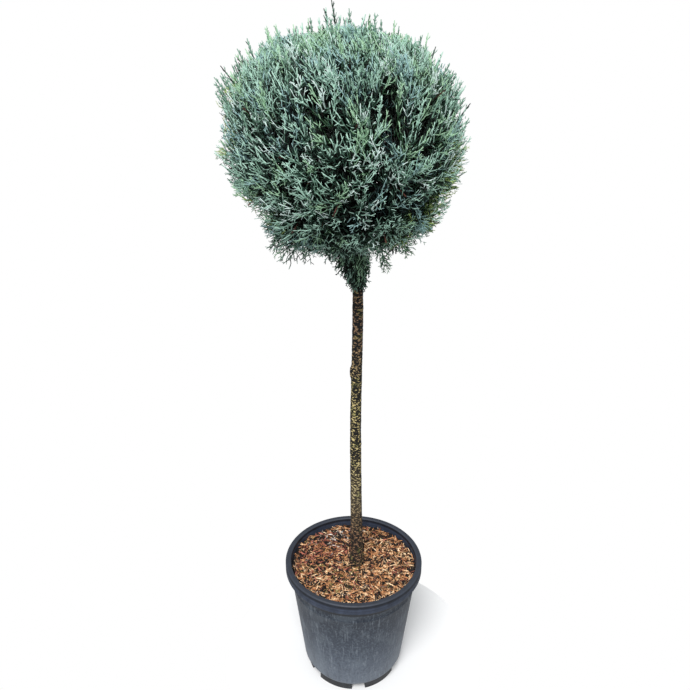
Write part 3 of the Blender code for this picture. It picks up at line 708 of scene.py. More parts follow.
def make_foot():
    """The black foot under the pot, with its drainage channels."""
    outline = []
    half = DRAIN_WIDTH / 2
    outer = math.asin(half / FOOT_RADIUS)
    inner = math.asin(half / DRAIN_INNER)
    step = math.tau / DRAIN_COUNT
    for k in range(DRAIN_COUNT):
        turn = k * step + DRAIN_FIRST
        for radius, start, end, steps in (
            (DRAIN_INNER, turn - inner, turn + inner, 4),
            (FOOT_RADIUS, turn + outer, turn + step - outer, 16),
        ):
            angles = [start + (end - start) * n / steps for n in range(steps + 1)]
            outline += [(radius * math.cos(angle), radius * math.sin(angle)) for angle in angles]
    count = len(outline)
    points = [(x, y, height) for height in (0, FOOT_HEIGHT) for x, y in outline]
    faces = [tuple(reversed(range(count))), tuple(range(count, 2 * count))] + ring_faces(2, count)
    foot = add_piece("pot_foot", points, faces, [foot_material()], smooth=False)
    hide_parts("pot")


def mulch_height(x, y):
    edge = (math.hypot(x, y) / inner_radius(MULCH_TOP)) ** MULCH_EDGE
    bumps = noise.noise(Vector((x / MULCH_GRAIN, y / MULCH_GRAIN, 0.5)))
    return MULCH_TOP + MULCH_RISE * (bumps - edge)


def make_mulch_bed():
    """The dark fines that the chips lie in."""
    low = SOIL_TOP + GAP
    edge = inner_radius(MULCH_TOP) - GAP
    foot = inner_radius(low) - GAP
    points = []
    for ring in range(BED_RINGS + 2):
        for k in range(BED_SIDES):
            radius, turn = edge * ring / BED_RINGS, math.tau * k / BED_SIDES
            if ring > BED_RINGS:
                points.append((foot * math.cos(turn), foot * math.sin(turn), low))
                continue
            x, y = radius * math.cos(turn), radius * math.sin(turn)
            grit = noise.noise(Vector((x, y, 0)) / GRIT_GRAIN) * GRIT_RISE
            points.append((x, y, mulch_height(x, y) - BED_DROP + grit))
    faces = [(a, d, c, b) for a, b, c, d in ring_faces(BED_RINGS + 2, BED_SIDES)]
    faces.append(tuple(reversed(range(len(points) - BED_SIDES, len(points)))))
    bed = add_piece("mulch_bed", points, faces, [soil_material()])
    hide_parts("bark_mulch")


def chip_tint(x, y, draw):
    """Which chip colour lies here: redder at the back left, a pale patch, olive in front."""
    back_left, patch, front_left = (
        math.exp(-(((x - middle_x) / spread_x) ** 2 + ((y - middle_y) / spread_y) ** 2))
        for middle_x, middle_y, spread_x, spread_y in CHIP_PLACES
    )
    weights = (
        0.36,
        0.32 * (1 - 0.5 * back_left),
        0.10 + 0.45 * back_left,
        0.22 + 1.10 * patch,
        0.002 + 0.50 * patch,
        0.015 + 0.16 * front_left,
        0.03 + 0.20 * patch,
    )
    mark = draw * sum(weights)
    for k, weight in enumerate(weights):
        mark -= weight
        if mark <= 0:
            return k
    return 0


def make_mulch_chips():
    """Thousands of slivers of bark, tilted and half sunk in the bed."""
    rng = np.random.default_rng(9100)
    section = ((-0.5, -0.5), (0.5, -0.5), (0.0, 0.5))
    corners = np.array([(x, y, z) for x in (-0.5, 0.5) for y, z in section])
    ends = np.array(((0, 2, 1), (3, 4, 5)))
    flanks = np.array(((0, 1, 4, 3), (1, 2, 5, 4), (2, 0, 3, 5)))
    edge = inner_radius(MULCH_TOP) - CHIP_EDGE
    points, faces, slots = [], [], []
    while len(points) < CHIPS:
        radius, turn = edge * math.sqrt(rng.random()), math.tau * rng.random()
        x, y = radius * math.cos(turn), radius * math.sin(turn)
        if math.hypot(x - TRUNK_ROUTE[0][0], y) < STEM_ROOM:
            continue
        size = np.array([rng.uniform(*limits) for limits in (CHIP_LENGTH, CHIP_WIDTH, CHIP_THICK)])
        heading = math.tau * rng.random()
        tilt = math.tan(rng.uniform(-1, 1) * CHIP_TILT)
        way = normal(np.array((math.cos(heading), math.sin(heading), tilt)))
        flat = normal(np.cross(UP, way))
        roll = rng.uniform(-CHIP_ROLL, CHIP_ROLL)
        side = flat * math.cos(roll) + np.cross(way, flat) * math.sin(roll)
        axes = np.array((way, side, np.cross(way, side)))
        body = corners * (1 + CHIP_UNEVEN * rng.uniform(-1, 1, corners.shape)) * size @ axes
        reach = np.abs(body[:, 2]).max()
        sink = rng.random() ** 1.5
        body += (x, y, mulch_height(x, y) - sink * CHIP_SINK)
        if np.hypot(body[:, 0], body[:, 1]).max() > edge + CHIP_PAST_EDGE or reach > CHIP_STAND:
            continue
        faces += [list(face + 6 * len(points)) for shape in (flanks, ends) for face in shape]
        tint = chip_tint(x, y, rng.random())
        # sunk chips and one flank of many are painted dark, as shade
        if sink > SHADED_BELOW and rng.random() < SHADED_SHARE:
            tint = DARK_CHIP
        slots += [tint, tint, DARK_CHIP if rng.random() < SHADED_FLANKS else tint, tint, tint]
        points.append(body)
    looks = [chip_material(k + 1, colours) for k, colours in enumerate(CHIP_TINTS)]
    chips = add_piece("mulch_chips", np.concatenate(points), faces, looks, slots, False)
    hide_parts("bark_mulch")


def dress_soil():
    soil = bpy.data.objects["potting_soil"]
    soil.data.materials.clear()
    soil.data.materials.append(soil_material())


# ---- trunk and boughs


def trunk_centre(height):
    """The trunk's middle at a height, on a smooth curve through its route."""
    route = [np.array(place) for place in TRUNK_ROUTE]
    for k in range(len(route) - 1):
        if height <= route[k + 1][2] or k == len(route) - 2:
            break
    before, low = route[max(k - 1, 0)], route[k]
    high, after = route[k + 1], route[min(k + 2, len(route) - 1)]
    share = (height - low[2]) / (high[2] - low[2])
    leave, arrive = (high - before) / 2, (after - low) / 2
    swing = share * share * (3 - 2 * share)
    place = low + (high - low) * swing
    place = place + leave * share * (1 - share) ** 2 - arrive * (1 - share) * share**2
    place[2] = height
    return place


def trunk_radius(height):
    flare = (FLARE_RADIUS - STEM_RADIUS) * math.exp((TRUNK_FOOT - height) / FLARE_HEIGHT)
    if height < NECK_HEIGHT:
        share = (height - TRUNK_FOOT) / (NECK_HEIGHT - TRUNK_FOOT)
        return STEM_RADIUS + (NECK_RADIUS - STEM_RADIUS) * share**NECK_TAPER + flare
    share = (height - NECK_HEIGHT) / (TRUNK_TOP - NECK_HEIGHT)
    return NECK_RADIUS + (TIP_RADIUS - NECK_RADIUS) * share


def bark_relief(place, turn, radius, rough):
    """How far the bark stands out at a place: plates, knobs and cracks between them."""
    around = Vector((math.cos(turn), math.sin(turn), 0)) * radius
    across, along = PLATE_SIZE
    slanted = place[2] + PLATE_SLANT * around.x
    spot = Vector((around.x / across, around.y / across, slanted / along))
    plates = PLATE_RISE * noise.noise(spot)
    cracks = abs(noise.noise(spot * 0.8 + Vector((7, 3, 5)))) / CRACK_WIDTH
    across, along = SWELL_SIZE
    swell = noise.noise(Vector((around.x / across, around.y / across, place[2] / along)))
    return rough * (plates - CRACK_DEPTH * math.exp(-(cracks**2))) + SWELL_RISE * swell


def knot_rise(height, turn):
    rise = 0.0
    for knot_height, azimuth, size, stand in KNOTS:
        off = math.remainder(turn - math.radians(azimuth), math.tau) * STEM_RADIUS
        rise += stand * math.exp(-(((height - knot_height) / size) ** 2) - (off / size) ** 2)
    return rise


def make_trunk(bark):
    """The whole trunk, with its bark as relief."""
    points = []
    for n in range(TRUNK_RINGS):
        height = TRUNK_FOOT + (TRUNK_TOP - TRUNK_FOOT) * n / (TRUNK_RINGS - 1)
        centre, radius = trunk_centre(height), trunk_radius(height)
        flute = FLUTE_DEPTH * math.exp((TRUNK_FOOT - height) / FLARE_HEIGHT)
        rough = 0.5 + 0.5 * min(max((height - SMOOTH_BELOW) / ROUGHENING, 0), 1)
        rough *= radius / STEM_RADIUS
        for k in range(TRUNK_SIDES):
            turn = math.tau * k / TRUNK_SIDES
            reach = radius * (1 + flute * math.cos(FLUTES * turn))
            reach += bark_relief(centre, turn, radius, rough) + knot_rise(height, turn)
            out = np.array((math.cos(turn), math.sin(turn), 0))
            points.append(centre + out * reach)
    faces = ring_faces(TRUNK_RINGS, TRUNK_SIDES)
    faces.append(tuple(reversed(range(TRUNK_SIDES))))
    faces.append(tuple(range(len(points) - TRUNK_SIDES, len(points))))
    trunk = add_piece("trunk_bark", points, faces, [bark])
    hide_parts("trunk")


def unit(azimuth, elevation):
    azimuth, elevation = math.radians(azimuth), math.radians(elevation)
    flat = math.cos(elevation)
    return np.array((flat * math.cos(azimuth), flat * math.sin(azimuth), math.sin(elevation)))


def mass_list():
    """Every mass round the trunk: its name, its axis in the crown and its stem."""
    masses = [{"name": "top_mass", "axis": UP, "stem_root": np.array(TRUNK_ROUTE[-1])}]
    for tier, count, elevation, first, rise in TIERS:
        for k in range(count):
            axis = unit(first + 360 * k / count, elevation)
            level = normal(np.array((axis[0], axis[1], 0)))
            towards = normal(axis * (1 - STEM_LEVEL) + level * STEM_LEVEL)
            stem_root = CROWN_CENTRE + axis * CORE_HOLLOW - towards * STEM_STUB
            mass = {"name": f"{tier}_mass_{k + 1}", "axis": axis, "towards": towards, "rise": rise}
            masses.append({**mass, "stem_root": stem_root, "step": k - (count - 1) / 2})
    return masses


def nearest(masses, directions):
    """Which mass owns each direction from the crown's centre."""
    axes = np.array([mass["axis"] for mass in masses])
    return (directions @ axes.T).argmax(axis=1)


def bough_shape(mass):
    tip = mass["stem_root"]
    root = trunk_centre(tip[2] - mass["rise"] + mass["step"] * BOUGH_STEP)
    bend = tip - mass["towards"] * np.linalg.norm(tip - root) * (1 - BOUGH_BEND)
    thick = trunk_radius(tip[2] - mass["rise"]) * BOUGH_ROOT_SHARE
    route = bent(root, bend, tip, 26)
    radii = np.linspace(thick, thick * BOUGH_TIP_SHARE, len(route))
    points, faces = tube(route, radii, BOUGH_SIDES)
    middles = np.repeat(route, BOUGH_SIDES, axis=0)
    bumps = np.array([noise.noise(Vector(p) / BOUGH_GRAIN) for p in points])
    return points + (points - middles) * BOUGH_BUMP * bumps[:, None], faces


def make_boughs(masses, bark):
    limbs = [mass for mass in masses if "step" in mass]
    points, faces = joined([bough_shape(mass) for mass in limbs])
    boughs = add_piece("bough_bark", points, faces, [bark])
    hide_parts(*[mass["name"].replace("mass", "bough") for mass in limbs])


# ---- the crown's reach


def valley(ways):
    """0 at the middle of a clump, near 1 between clumps."""
    lumps = spiral(np.linspace(LUMP_BAND, -LUMP_BAND, LUMPS))
    away = np.degrees(np.arccos(np.clip((ways @ lumps.T).max(axis=-1), -1, 1)))
    return 1 - np.exp(-((away / LUMP_SPREAD) ** 2))


def crown_reach(ways):
    """How far the crown reaches from its centre along each direction."""
    level = np.hypot(ways[..., 0], ways[..., 1]) / CROWN_RADIUS
    upright = np.abs(ways[..., 2]) / CROWN_RISE
    reach = (level**CROWN_SQUARE + upright**CROWN_SQUARE) ** (-1 / CROWN_SQUARE)
    for azimuth, elevation, spread, depth in HOLLOWS:
        away = np.degrees(np.arccos(np.clip(ways @ unit(azimuth, elevation), -1, 1)))
        reach = reach * (1 - depth * np.exp(-((away / spread) ** 2)))
    return reach * (1 - LUMP_RISE * valley(ways))


def depth_share(points):
    """0 at the crown's centre, 1 at its reach."""
    offsets = points - CROWN_CENTRE
    lengths = np.linalg.norm(offsets, axis=-1) + 1e-9
    return lengths / crown_reach(offsets / lengths[..., None])


def daylight(points):
    """The depth share that places seem to have, which picks painted shade or painted light: less
    of it between clumps and underneath.
    """
    ways = normal(points - CROWN_CENTRE)
    under = np.maximum(UNDER_START - ways[..., 2], 0) / (1 + UNDER_START)
    loss = np.maximum(VALLEY_SHADE * valley(ways) ** 2, UNDER_SHADE * under)
    return np.minimum(depth_share(points), 1) * (1 - loss)


def run_to_edge(starts, ways):
    """How far each shoot can grow from inside the crown before it leaves its reach."""
    low, high = np.zeros(len(starts)), np.full(len(starts), CROWN_RADIUS)
    for _ in range(EDGE_HALVINGS):
        middle = (low + high) / 2
        inside = depth_share(starts + ways * middle[:, None]) < 1
        low, high = np.where(inside, middle, low), np.where(inside, high, middle)
    return low


def spiral(heights):
    """Directions at these sines of elevation, a golden turn between one and the next."""
    flat = np.sqrt(1 - heights**2)
    turns = np.arange(len(heights)) * GOLDEN_TURN
    return np.stack((flat * np.cos(turns), flat * np.sin(turns), heights), axis=1)


def growth(directions, rng):
    """The way shoots grow at places on the crown: up on top, out and down below."""
    rise = directions[:, 2]
    lift = LIFT_EVERYWHERE + LIFT_BY_HEIGHT * rise + LIFT_ON_TOP * np.sqrt(np.maximum(rise, 0))
    return normal(directions + lift[:, None] * UP + WANDER * rng.uniform(-1, 1, directions.shape))


def square_to(ways, rng):
    """A seeded direction square to each way."""
    return normal(np.cross(ways, rng.uniform(-1, 1, ways.shape)))


def upper_sides(ways, rng):
    """Directions square to each way that stand as upright as they can, less a seeded roll."""
    upright = UP - ways * ways[:, 2:]
    return normal(normal(upright) + SIDE_ROLL * square_to(ways, rng))


# ---- spray patterns


def curve_cord(root, lean_out, lean_in, across, length):
    """A side cord's root, bend and end: it leaves wide, then turns forward."""
    wide = np.array((math.cos(lean_out), 0, 0)) + across * math.sin(lean_out)
    narrow = np.array((math.cos(lean_in), 0, 0)) + across * math.sin(lean_in)
    bend = root + wide * length * CORD_BEND
    return root, bend, bend + narrow * length * (1 - CORD_BEND)


def spray_pattern(seed, nodes=5, reach=(0.60, 0.40), spread=(70, 42), forks=2, bare=0.0, stem=1.1):
    """The cords of one feathery spray of unit length along X.

    Side cords stand in pairs, each pair a quarter turn from the last, and lean forward as
    they near the spray's tip. A cord is a root, a bend, an end and a thickness. It bears this
    many forks, which have no bend. Cords and forks make one set of frames each.
    """
    rng = np.random.default_rng(seed)
    cords, twigs = [], []
    marks = np.linspace(0, 1, 5)
    sway = SPRAY_SWAY * np.array((np.sin(marks * 5 + seed), np.cos(marks * 4 + seed)))
    axis = np.column_stack((marks, *sway))
    for k in (0, 2):
        cords.append((axis[k], axis[k + 1], axis[k + 2], stem))
    for k in range(nodes):
        x = FIRST_PAIR + (PAIR_SPAN - bare) * k / (nodes - 1)
        root = np.array([np.interp(x, marks, row) for row in axis.T])
        share = x / (1 - bare)
        for side in (0, math.pi):
            turn = k * math.pi / 2 + side + rng.uniform(-0.5, 0.5)
            across = np.array((0, math.cos(turn), SPRAY_FLATNESS * math.sin(turn)))
            lean = spread[0] + (spread[1] - spread[0]) * share + rng.uniform(-9, 9)
            lean = math.radians(lean)
            length = (reach[0] + (reach[1] - reach[0]) * share) * rng.uniform(*CORD_LENGTH)
            cord = curve_cord(root, lean, lean * rng.uniform(*CORD_TURN), across, length)
            cords.append((*cord, 1.0))
            way = normal(cord[2] - cord[1])
            off = normal(np.cross(way, rng.uniform(-1, 1, 3)))
            for fork in range(forks):
                start = FORK_STEP * fork + rng.uniform(*FORK_START)
                start = cord[1] + (cord[2] - cord[1]) * start
                grow = normal(way + off * (-1) ** fork * rng.uniform(*FORK_LEAN))
                end = start + grow * length * rng.uniform(*FORK_LENGTH)
                twigs.append((start, end, FORK_THICK))
    return [cord_frames(rows) for rows in (cords, twigs) if rows]


def cord_frames(rows):
    """The stations, spokes and thickness of cords with the same number of stations."""
    stations = np.array([row[:-1] for row in rows])
    along = normal(stations[:, -1] - stations[:, 0])
    side = normal(np.cross(along, np.array((0.3, 0.5, 0.8))))
    around = spokes(side, np.cross(along, side), 3)
    return {"stations": stations, "spokes": around, "thick": np.array([row[-1] for row in rows])}


def cord_faces(rings):
    """A three-sided cord of this many rings, its end closed by one face."""
    faces = []
    for ring in range(0, 3 * (rings - 1), 3):
        for k in range(3):
            after = (k + 1) % 3
            faces.append((ring + k, ring + after, ring + 3 + after))
            faces.append((ring + k, ring + 3 + after, ring + 3 + k))
    last = 3 * (rings - 1)
    return np.array(faces + [(last, last + 1, last + 2)])


def dressed(cords, sprays, inside):
    """Points, faces and slots of one kind of cord, on every spray of one pattern."""
    ways, sides = sprays["ways"], sprays["sides"]
    frames = np.stack((ways, sides, np.cross(ways, sides)), axis=1)
    stations = np.repeat(cords["stations"][None], len(frames), axis=0)
    for axis, bend in enumerate(sprays["bends"].T, start=1):
        stations[..., axis] += bend[:, None, None] * stations[..., 0] ** 2
    stations = np.einsum("inks,isd->inkd", stations, frames)
    stations *= sprays["lengths"][:, None, None, None]
    stations += sprays["starts"][:, None, None]
    around = np.einsum("nks,isd->inkd", cords["spokes"], frames)
    radii = CORD_RADIUS * cords["thick"][None, :] * sprays["thick"][:, None]
    tints = np.repeat(sprays["tints"][:, None], stations.shape[1], axis=1)
    depth = depth_share(stations[:, :, -1])
    keep = depth < EDGE_LEAVE if inside else np.ones(tints.shape, bool)
    stations, around, radii, tints = (rows[keep] for rows in (stations, around, radii, tints))
    rings = stations.shape[1]
    taper = (1.0, CORD_END) if rings == 2 else (1.0, CORD_MIDDLE, CORD_END)
    spans = [around * radii[:, None, None] * share for share in taper]
    points = [stations[:, None, n] + span for n, span in enumerate(spans)]
    points = np.concatenate(points, axis=1).reshape(-1, 3)
    cord = cord_faces(rings)
    faces = (cord[None] + 3 * rings * np.arange(len(stations))[:, None, None]).reshape(-1, 3)
    slots = np.repeat((tints * 3)[:, None], len(cord), axis=1)
    # each part of a cord takes the shaded, middle or lit copy of its tint by its daylight: painted
    # shade and painted light
    shaded = DAYLIGHT_LOSS * np.random.default_rng(len(stations)).exponential(1, len(stations))
    for part in range(rings - 1):
        light = daylight(stations[:, part + 1]) - shaded
        level = (light > SHADE_DEPTH).astype(int) + (light > LIGHT_DEPTH)
        past = 6 * part + 6 if part < rings - 2 else len(cord)
        slots[:, 6 * part : past] += level[:, None]
    return points, faces, slots.reshape(-1)


def spray_piece(name, node, groups, materials):
    """One piece from several (pattern, sprays, inside) groups."""
    points, faces, slots, start = [], [], [], 0
    for pattern, sprays, inside in groups:
        if len(sprays["starts"]) == 0:
            continue
        for cords in pattern:
            some_points, some_faces, some_slots = dressed(cords, sprays, inside)
            points.append(some_points)
            faces.append(some_faces + start)
            slots.append(some_slots)
            start += len(some_points)
    points, faces, slots = map(np.concatenate, (points, faces, slots))
    piece = add_piece(name, points, faces, materials, slots)
    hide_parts(node)


def picked(sprays, mask):
    return {key: values[mask] for key, values in sprays.items()}


# ---- shoots and their sprays


def scattered(count, jitter, rng):
    """Directions spread evenly all round, each moved a little."""
    heights = 1 - 2 * (np.arange(count) + 0.5) / count
    return normal(spiral(heights) + jitter * rng.uniform(-1, 1, (count, 3)))


def shoot_list():
    """Every shoot: where it leaves its limb, the way it grows and how far."""
    rng = np.random.default_rng(4100)
    directions = scattered(SHOOTS, SITE_JITTER, rng)
    roots = CROWN_CENTRE + directions * crown_reach(directions)[:, None] * ROOT_SHARE
    ways = growth(directions, rng)
    lengths = run_to_edge(roots, ways) * rng.uniform(*SHOOT_REACH, SHOOTS)
    return {"directions": directions, "roots": roots, "ways": ways, "lengths": lengths}


def spray_tints(starts, rng):
    """Greener and lighter on top, bluer and deeper low down, with patches of each; the deep tint's
    larger share low down is painted shade.
    """
    height = (starts[:, 2] - CROWN_CENTRE[2]) / CROWN_RISE
    patches = np.array([noise.noise(Vector(p) / TINT_PATCH) for p in starts])
    draw = rng.random(len(starts))
    tints = np.full(len(starts), TINTS["glaucous"])
    tints[(draw < 0.45 + 0.25 * height) & (patches > -0.05)] = TINTS["green"]
    tints[(draw > 0.50) & (patches < -0.10)] = TINTS["blue"]
    tints[draw > 0.86 + 0.03 * height] = TINTS["pale"]
    deep = np.where(height < DEEP_BELOW, *DEEP_SHARES)
    tints[rng.random(len(starts)) < deep] = TINTS["deep"]
    directions = normal(starts - CROWN_CENTRE)
    for azimuth, elevation, half_width in YELLOW_PATCHES:
        near = directions @ unit(azimuth, elevation) > math.cos(math.radians(half_width))
        tints[near & (draw < YELLOW_SHARE)] = TINTS["yellow"]
    return tints


def shoot_sprays(shoots):
    """The sprays along every shoot, and the shoot each grows on."""
    rng = np.random.default_rng(5200)
    sides = square_to(shoots["ways"], rng)
    ways, roots = shoots["ways"], shoots["roots"]
    rise = shoots["directions"][:, 2:]
    lift = SPRAY_LIFT * (1 - rise**2) * (1 + rise)
    rows = []
    for turn, lean, share in SHOOT_SPRAYS:
        turns = math.radians(turn) + rng.uniform(-SPRAY_TURN, SPRAY_TURN, SHOOTS)
        swing = math.radians(lean) * rng.uniform(*SPRAY_LEAN, SHOOTS)
        across = sides * np.cos(turns)[:, None] + np.cross(ways, sides) * np.sin(turns)[:, None]
        grow = normal(ways * np.cos(swing)[:, None] + across * np.sin(swing)[:, None] + lift * UP)
        starts = roots + ways * (shoots["lengths"] * share)[:, None]
        lengths = np.minimum(run_to_edge(starts, grow), rng.uniform(*SPRAY_LENGTH, SHOOTS))
        rows.append((starts, grow, lengths))
    starts, grow, lengths = (np.concatenate([row[k] for row in rows]) for k in range(3))
    count = len(starts)
    sprays = {
        "starts": starts,
        "ways": grow,
        "sides": upper_sides(grow, rng),
        "lengths": lengths,
        "bends": rng.normal(UPTURN, 0.10, (count, 2)) * (1, 0.5),
        "thick": rng.uniform(0.88, 1.12, count),
        "tints": spray_tints(starts, rng),
        "shoot": np.tile(np.arange(SHOOTS), len(SHOOT_SPRAYS)),
        "pattern": rng.integers(0, PATTERNS, count),
    }
    sprays["pattern"][:SHOOTS] += PATTERNS
    return picked(sprays, lengths > SHORTEST_SPRAY)


def filler_sprays():
    """Sprays across the depth of the crown, lying along it more than out of it, painted dark as
    shade.
    """
    rng = np.random.default_rng(6100)
    directions = scattered(FILLERS, FILLER_JITTER, rng)
    depth = rng.uniform(*FILLER_DEPTH, FILLERS)
    depth += FILLER_SINK * np.maximum(-directions[:, 2] - 0.2, 0)
    middles = CROWN_CENTRE + directions * (crown_reach(directions) * depth)[:, None]
    ways = normal(square_to(directions, rng) + 0.5 * directions)
    lengths = rng.uniform(*FILLER_LENGTH, FILLERS)
    tints = np.full(FILLERS, TINTS["inner"])
    rows = stray_rows(middles + ways * lengths[:, None] / 2, ways, lengths, tints, rng)
    rows["thick"] *= FILLER_THICK
    return rows


def stray_rows(places, ways, lengths, tints, rng):
    """Sprays that end at given places."""
    return {
        "starts": places - ways * lengths[:, None],
        "ways": ways,
        "sides": square_to(ways, rng),
        "lengths": lengths,
        "bends": rng.normal(0, STRAY_BEND, (len(places), 2)),
        "thick": rng.uniform(0.85, 1.05, len(places)),
        "tints": tints,
    }


def leaders():
    """Upright leaders: the table's, more all over the top, and plumes beside the table's."""
    rng = np.random.default_rng(7300)
    depths = rng.uniform(*LEADER_DEPTH, len(LEADER_TIPS))
    tips = np.array([(x, y, z + LEADER_BACK * y) for (x, z), y in zip(LEADER_TIPS, depths)])
    heights = np.linspace(LEADER_BAND[1], LEADER_BAND[0], MORE_LEADERS)
    directions = spiral(heights)
    rise = rng.uniform(*LEADER_RISE, MORE_LEADERS)
    more = CROWN_CENTRE + directions * crown_reach(directions)[:, None] + rise[:, None] * UP
    beside = np.zeros((PLUMES * len(tips), 3))
    beside[:, 0] = rng.uniform(*PLUME_ASIDE, len(beside)) * np.tile((-1, 1), len(tips))
    beside[:, 1] = rng.uniform(-1, 1, len(beside)) * PLUME_ASIDE[1]
    beside[:, 2] = -rng.uniform(*PLUME_DROP, len(beside))
    places = np.concatenate((tips, more, np.repeat(tips, PLUMES, axis=0) + beside))
    outward = (places - CROWN_CENTRE) * (1, 1, 0) / CROWN_RADIUS
    outward[-len(beside) :, 0] += beside[:, 0] * PLUME_LEAN
    ways = normal(outward + LEADER_STEEP * UP)
    lengths = LEADER_LENGTH * rng.uniform(0.85, 1.1, len(places))
    return stray_rows(places, ways, lengths, rng.choice(STRAY_TINTS, len(places)), rng)


def hangers():
    """Small bundles of sprays that droop from the underside of the crown."""
    rng = np.random.default_rng(7500)
    tips = np.array([(x, rng.uniform(*HANGER_DEPTH), z) for x, z in HANGER_TIPS])
    tips = np.repeat(tips, HANGER_BUNDLE, axis=0)
    tips += rng.uniform(-1, 1, tips.shape) * HANGER_SPREAD
    outward = (tips - CROWN_CENTRE) * (1, 1, 0) / CROWN_RADIUS
    ways = normal(outward - HANGER_STEEP * UP + 0.15 * rng.uniform(-1, 1, tips.shape))
    lengths = HANGER_LENGTH * rng.uniform(0.6, 0.9, len(tips))
    tints = rng.choice((TINTS["deep"], TINTS["green"]), len(tips))
    return stray_rows(tips, ways, lengths, tints, rng)


def collar_sprays():
    """Sprays down the trunk's neck, pointing down and a little out."""
    rng = np.random.default_rng(8800)
    share = (np.arange(COLLAR_SPRAYS) + 0.5) / COLLAR_SPRAYS
    heights = COLLAR_LOW + (COLLAR_TOP - COLLAR_LOW) * share
    out = spiral(np.zeros(COLLAR_SPRAYS))
    inside = np.arange(COLLAR_SPRAYS) % 2 == 0
    sleeve = COLLAR_LOW_RADIUS + (COLLAR_TOP_RADIUS - COLLAR_LOW_RADIUS) * share
    sleeve = sleeve * np.where(inside, COLLAR_INSIDE, 1.0)
    starts = np.array([trunk_centre(h) for h in heights]) + out * sleeve[:, None]
    starts[:, :2] += np.outer(share**2, COLLAR_LEAN)
    ways = normal(out * (0.05 + 0.35 * share * rng.random(COLLAR_SPRAYS))[:, None] - UP)
    low, top = COLLAR_LENGTH
    lengths = (low + (top - low) * share) * rng.uniform(0.75, 1.1, COLLAR_SPRAYS)
    # the inside ones take the near-black inner tint, painted shade
    tints = np.where(inside, TINTS["inner"], rng.choice(STRAY_TINTS, COLLAR_SPRAYS))
    rows = stray_rows(starts + ways * lengths[:, None], ways, lengths, tints, rng)
    rows["thick"] *= COLLAR_THICK
    return rows


def make_foliage(masses, shoots, materials):
    """One piece of sprays for each mass, and one for the collar."""
    patterns = [spray_pattern(600 + k) for k in range(PATTERNS)]
    patterns += [spray_pattern(600 + k, forks=1) for k in range(PATTERNS)]
    leader_pattern = spray_pattern(71, 9, (0.17, 0.09), (50, 40), forks=1, bare=0.08, stem=1.6)
    flame_pattern = spray_pattern(73, 11, (0.26, 0.10), (34, 24), forks=1, stem=1.3)
    filler_pattern = spray_pattern(72, 4, (0.50, 0.30), (75, 50), forks=0)
    sprays = shoot_sprays(shoots)
    owner = nearest(masses, shoots["directions"])[sprays["shoot"]]
    tall = leaders()
    slim = np.arange(len(tall["starts"])) % 5 < 2
    slim[: len(LEADER_TIPS)] = True
    strays = [(leader_pattern, picked(tall, slim)), (flame_pattern, picked(tall, ~slim))]
    strays += [(patterns[2], hangers()), (filler_pattern, filler_sprays())]
    for k, mass in enumerate(masses):
        groups = []
        for n, pattern in enumerate(patterns):
            mine = (owner == k) & (sprays["pattern"] == n)
            groups.append((pattern, picked(sprays, mine), True))
        for pattern, rows in strays:
            mine = nearest(masses, normal(rows["starts"] - CROWN_CENTRE)) == k
            groups.append((pattern, picked(rows, mine), False))
        spray_piece(f"foliage_{mass['name']}", mass["name"], groups, materials)
    groups = [(patterns[1], collar_sprays(), False)]
    spray_piece("foliage_collar", "collar_mass", groups, materials)


# ---- twigs inside the masses


def shoot_groups(roots):
    """Shares one mass's shoots out among limbs: far-apart shoots first, the rest by nearness."""
    count = max(1, round(len(roots) / GROUP_SHOOTS))
    leads = [0]
    for _ in range(count - 1):
        away = np.linalg.norm(roots[:, None] - roots[leads][None], axis=2).min(axis=1)
        leads.append(int(away.argmax()))
    return np.linalg.norm(roots[:, None] - roots[leads][None], axis=2).argmin(axis=1)


def limb_between(start, end, sag, thick, thin, steps=5):
    middle = (start + end) / 2 + sag
    return tube(bent(start, middle, end, steps), np.linspace(thick, thin, steps), TWIG_SIDES)


def make_twigs(masses, shoots, twigs):
    """In each mass: limbs from its stem to forks, branches to shoots, and the shoots' twigs."""
    owner = nearest(masses, shoots["directions"])
    rng = np.random.default_rng(6400)
    for k, mass in enumerate(masses):
        mine = np.flatnonzero(owner == k)
        groups = shoot_groups(shoots["roots"][mine])
        shapes, bared = [], []
        for group in range(groups.max() + 1):
            members = mine[groups == group]
            towards = normal(shoots["directions"][members].mean(axis=0))
            fork = CROWN_CENTRE + towards * crown_reach(towards) * GROUP_SHARE
            sag = rng.uniform(-1, 1, 3) * LIMB_SAG
            shapes.append(limb_between(mass["stem_root"], fork, sag, LIMB_RADIUS, BRANCH_RADIUS))
            for n in members:
                root, way = shoots["roots"][n], shoots["ways"][n]
                sag = rng.uniform(-1, 1, 3) * BRANCH_SAG
                shapes.append(limb_between(fork, root, sag, BRANCH_RADIUS, TWIG_RADIUS))
                if n % OLD_TWIG_EVERY == 0:
                    end = root + way * shoots["lengths"][n] * OLD_TWIG_SHARE
                    bared.append(limb_between(root, end, sag * 0.5, OLD_TWIG_RADIUS, TWIG_RADIUS))
                else:
                    end = root + way * shoots["lengths"][n] * TWIG_SHARE
                    shapes.append(limb_between(root, end, sag * 0.5, TWIG_RADIUS, TWIG_END))
        counts = [sum(len(shape[1]) for shape in part) for part in (shapes, bared)]
        slots = np.repeat((0, 1), counts)
        points, faces = joined(shapes + bared)
        piece = add_piece(f"twigs_{mass['name']}", points, faces, twigs, slots)
        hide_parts(mass["name"])


# ---- floor, light and camera


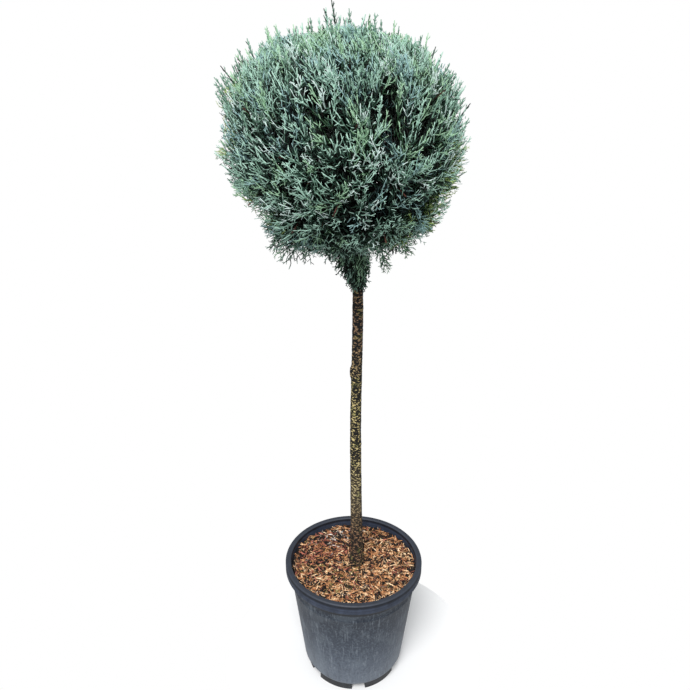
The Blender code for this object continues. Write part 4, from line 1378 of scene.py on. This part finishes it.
def make_floor():
    drop = np.full(FLOOR_SIDES, -FLOOR_DROP)
    points = np.column_stack((circle(FLOOR_SIDES) * FLOOR_RADIUS, drop))
    graph = Graph("pale_floor", roughness=1.0, specular=0.0)
    graph.colour(linear(FLOOR_COLOUR))
    floor = mesh_object("floor", points, [tuple(range(FLOOR_SIDES))], [graph.material])


def make_world():
    """Soft light from all round; the camera itself sees plain white behind the object."""
    world = bpy.data.worlds.new("studio")
    world.use_nodes = True
    nodes, links = world.node_tree.nodes, world.node_tree.links
    choice = nodes.new("ShaderNodeMixShader")
    path = nodes.new("ShaderNodeLightPath")
    links.new(path.outputs["Is Camera Ray"], choice.inputs[0])
    backdrop = nodes.new("ShaderNodeBackground")
    looks = ((nodes["Background"], SKY_COLOUR, SKY_STRENGTH), (backdrop, WHITE, 1.0))
    for slot, (node, colour, strength) in enumerate(looks, start=1):
        node.inputs["Color"].default_value = colour
        node.inputs["Strength"].default_value = strength
        links.new(node.outputs[0], choice.inputs[slot])
    links.new(choice.outputs[0], nodes["World Output"].inputs["Surface"])
    bpy.context.scene.world = world


def make_lights():
    make_world()
    lamp = bpy.data.lights.new("overhead", "SUN")
    lamp.energy = SUN_STRENGTH
    lamp.angle = math.radians(SUN_SPREAD)
    placed("overhead", lamp).rotation_euler = [math.radians(lean) for lean in SUN_LEAN]
    bpy.context.scene.view_settings.view_transform = "Standard"


def make_camera():
    camera = bpy.data.cameras.new("camera")
    camera.sensor_width = SENSOR
    camera.lens = FOCAL_PIXELS / IMAGE_SIDE * SENSOR
    obj = placed("camera", camera)
    obj.location = CAMERA_PLACE
    obj.rotation_euler = (math.pi / 2 - CAMERA_TILT, 0, 0)
    bpy.context.scene.camera = obj


def main():
    make_camera()
    make_lights()
    make_floor()
    make_pot()
    make_foot()
    dress_soil()
    make_mulch_bed()
    make_mulch_chips()
    bark = bark_material()
    masses = mass_list()
    shoots = shoot_list()
    make_trunk(bark)
    make_boughs(masses, bark)
    twigs = [twig_material("twig", TWIG_COLOURS), twig_material("old_twig", OLD_TWIG_COLOURS)]
    make_twigs(masses, shoots, twigs)
    make_foliage(masses, shoots, foliage_materials())


main()
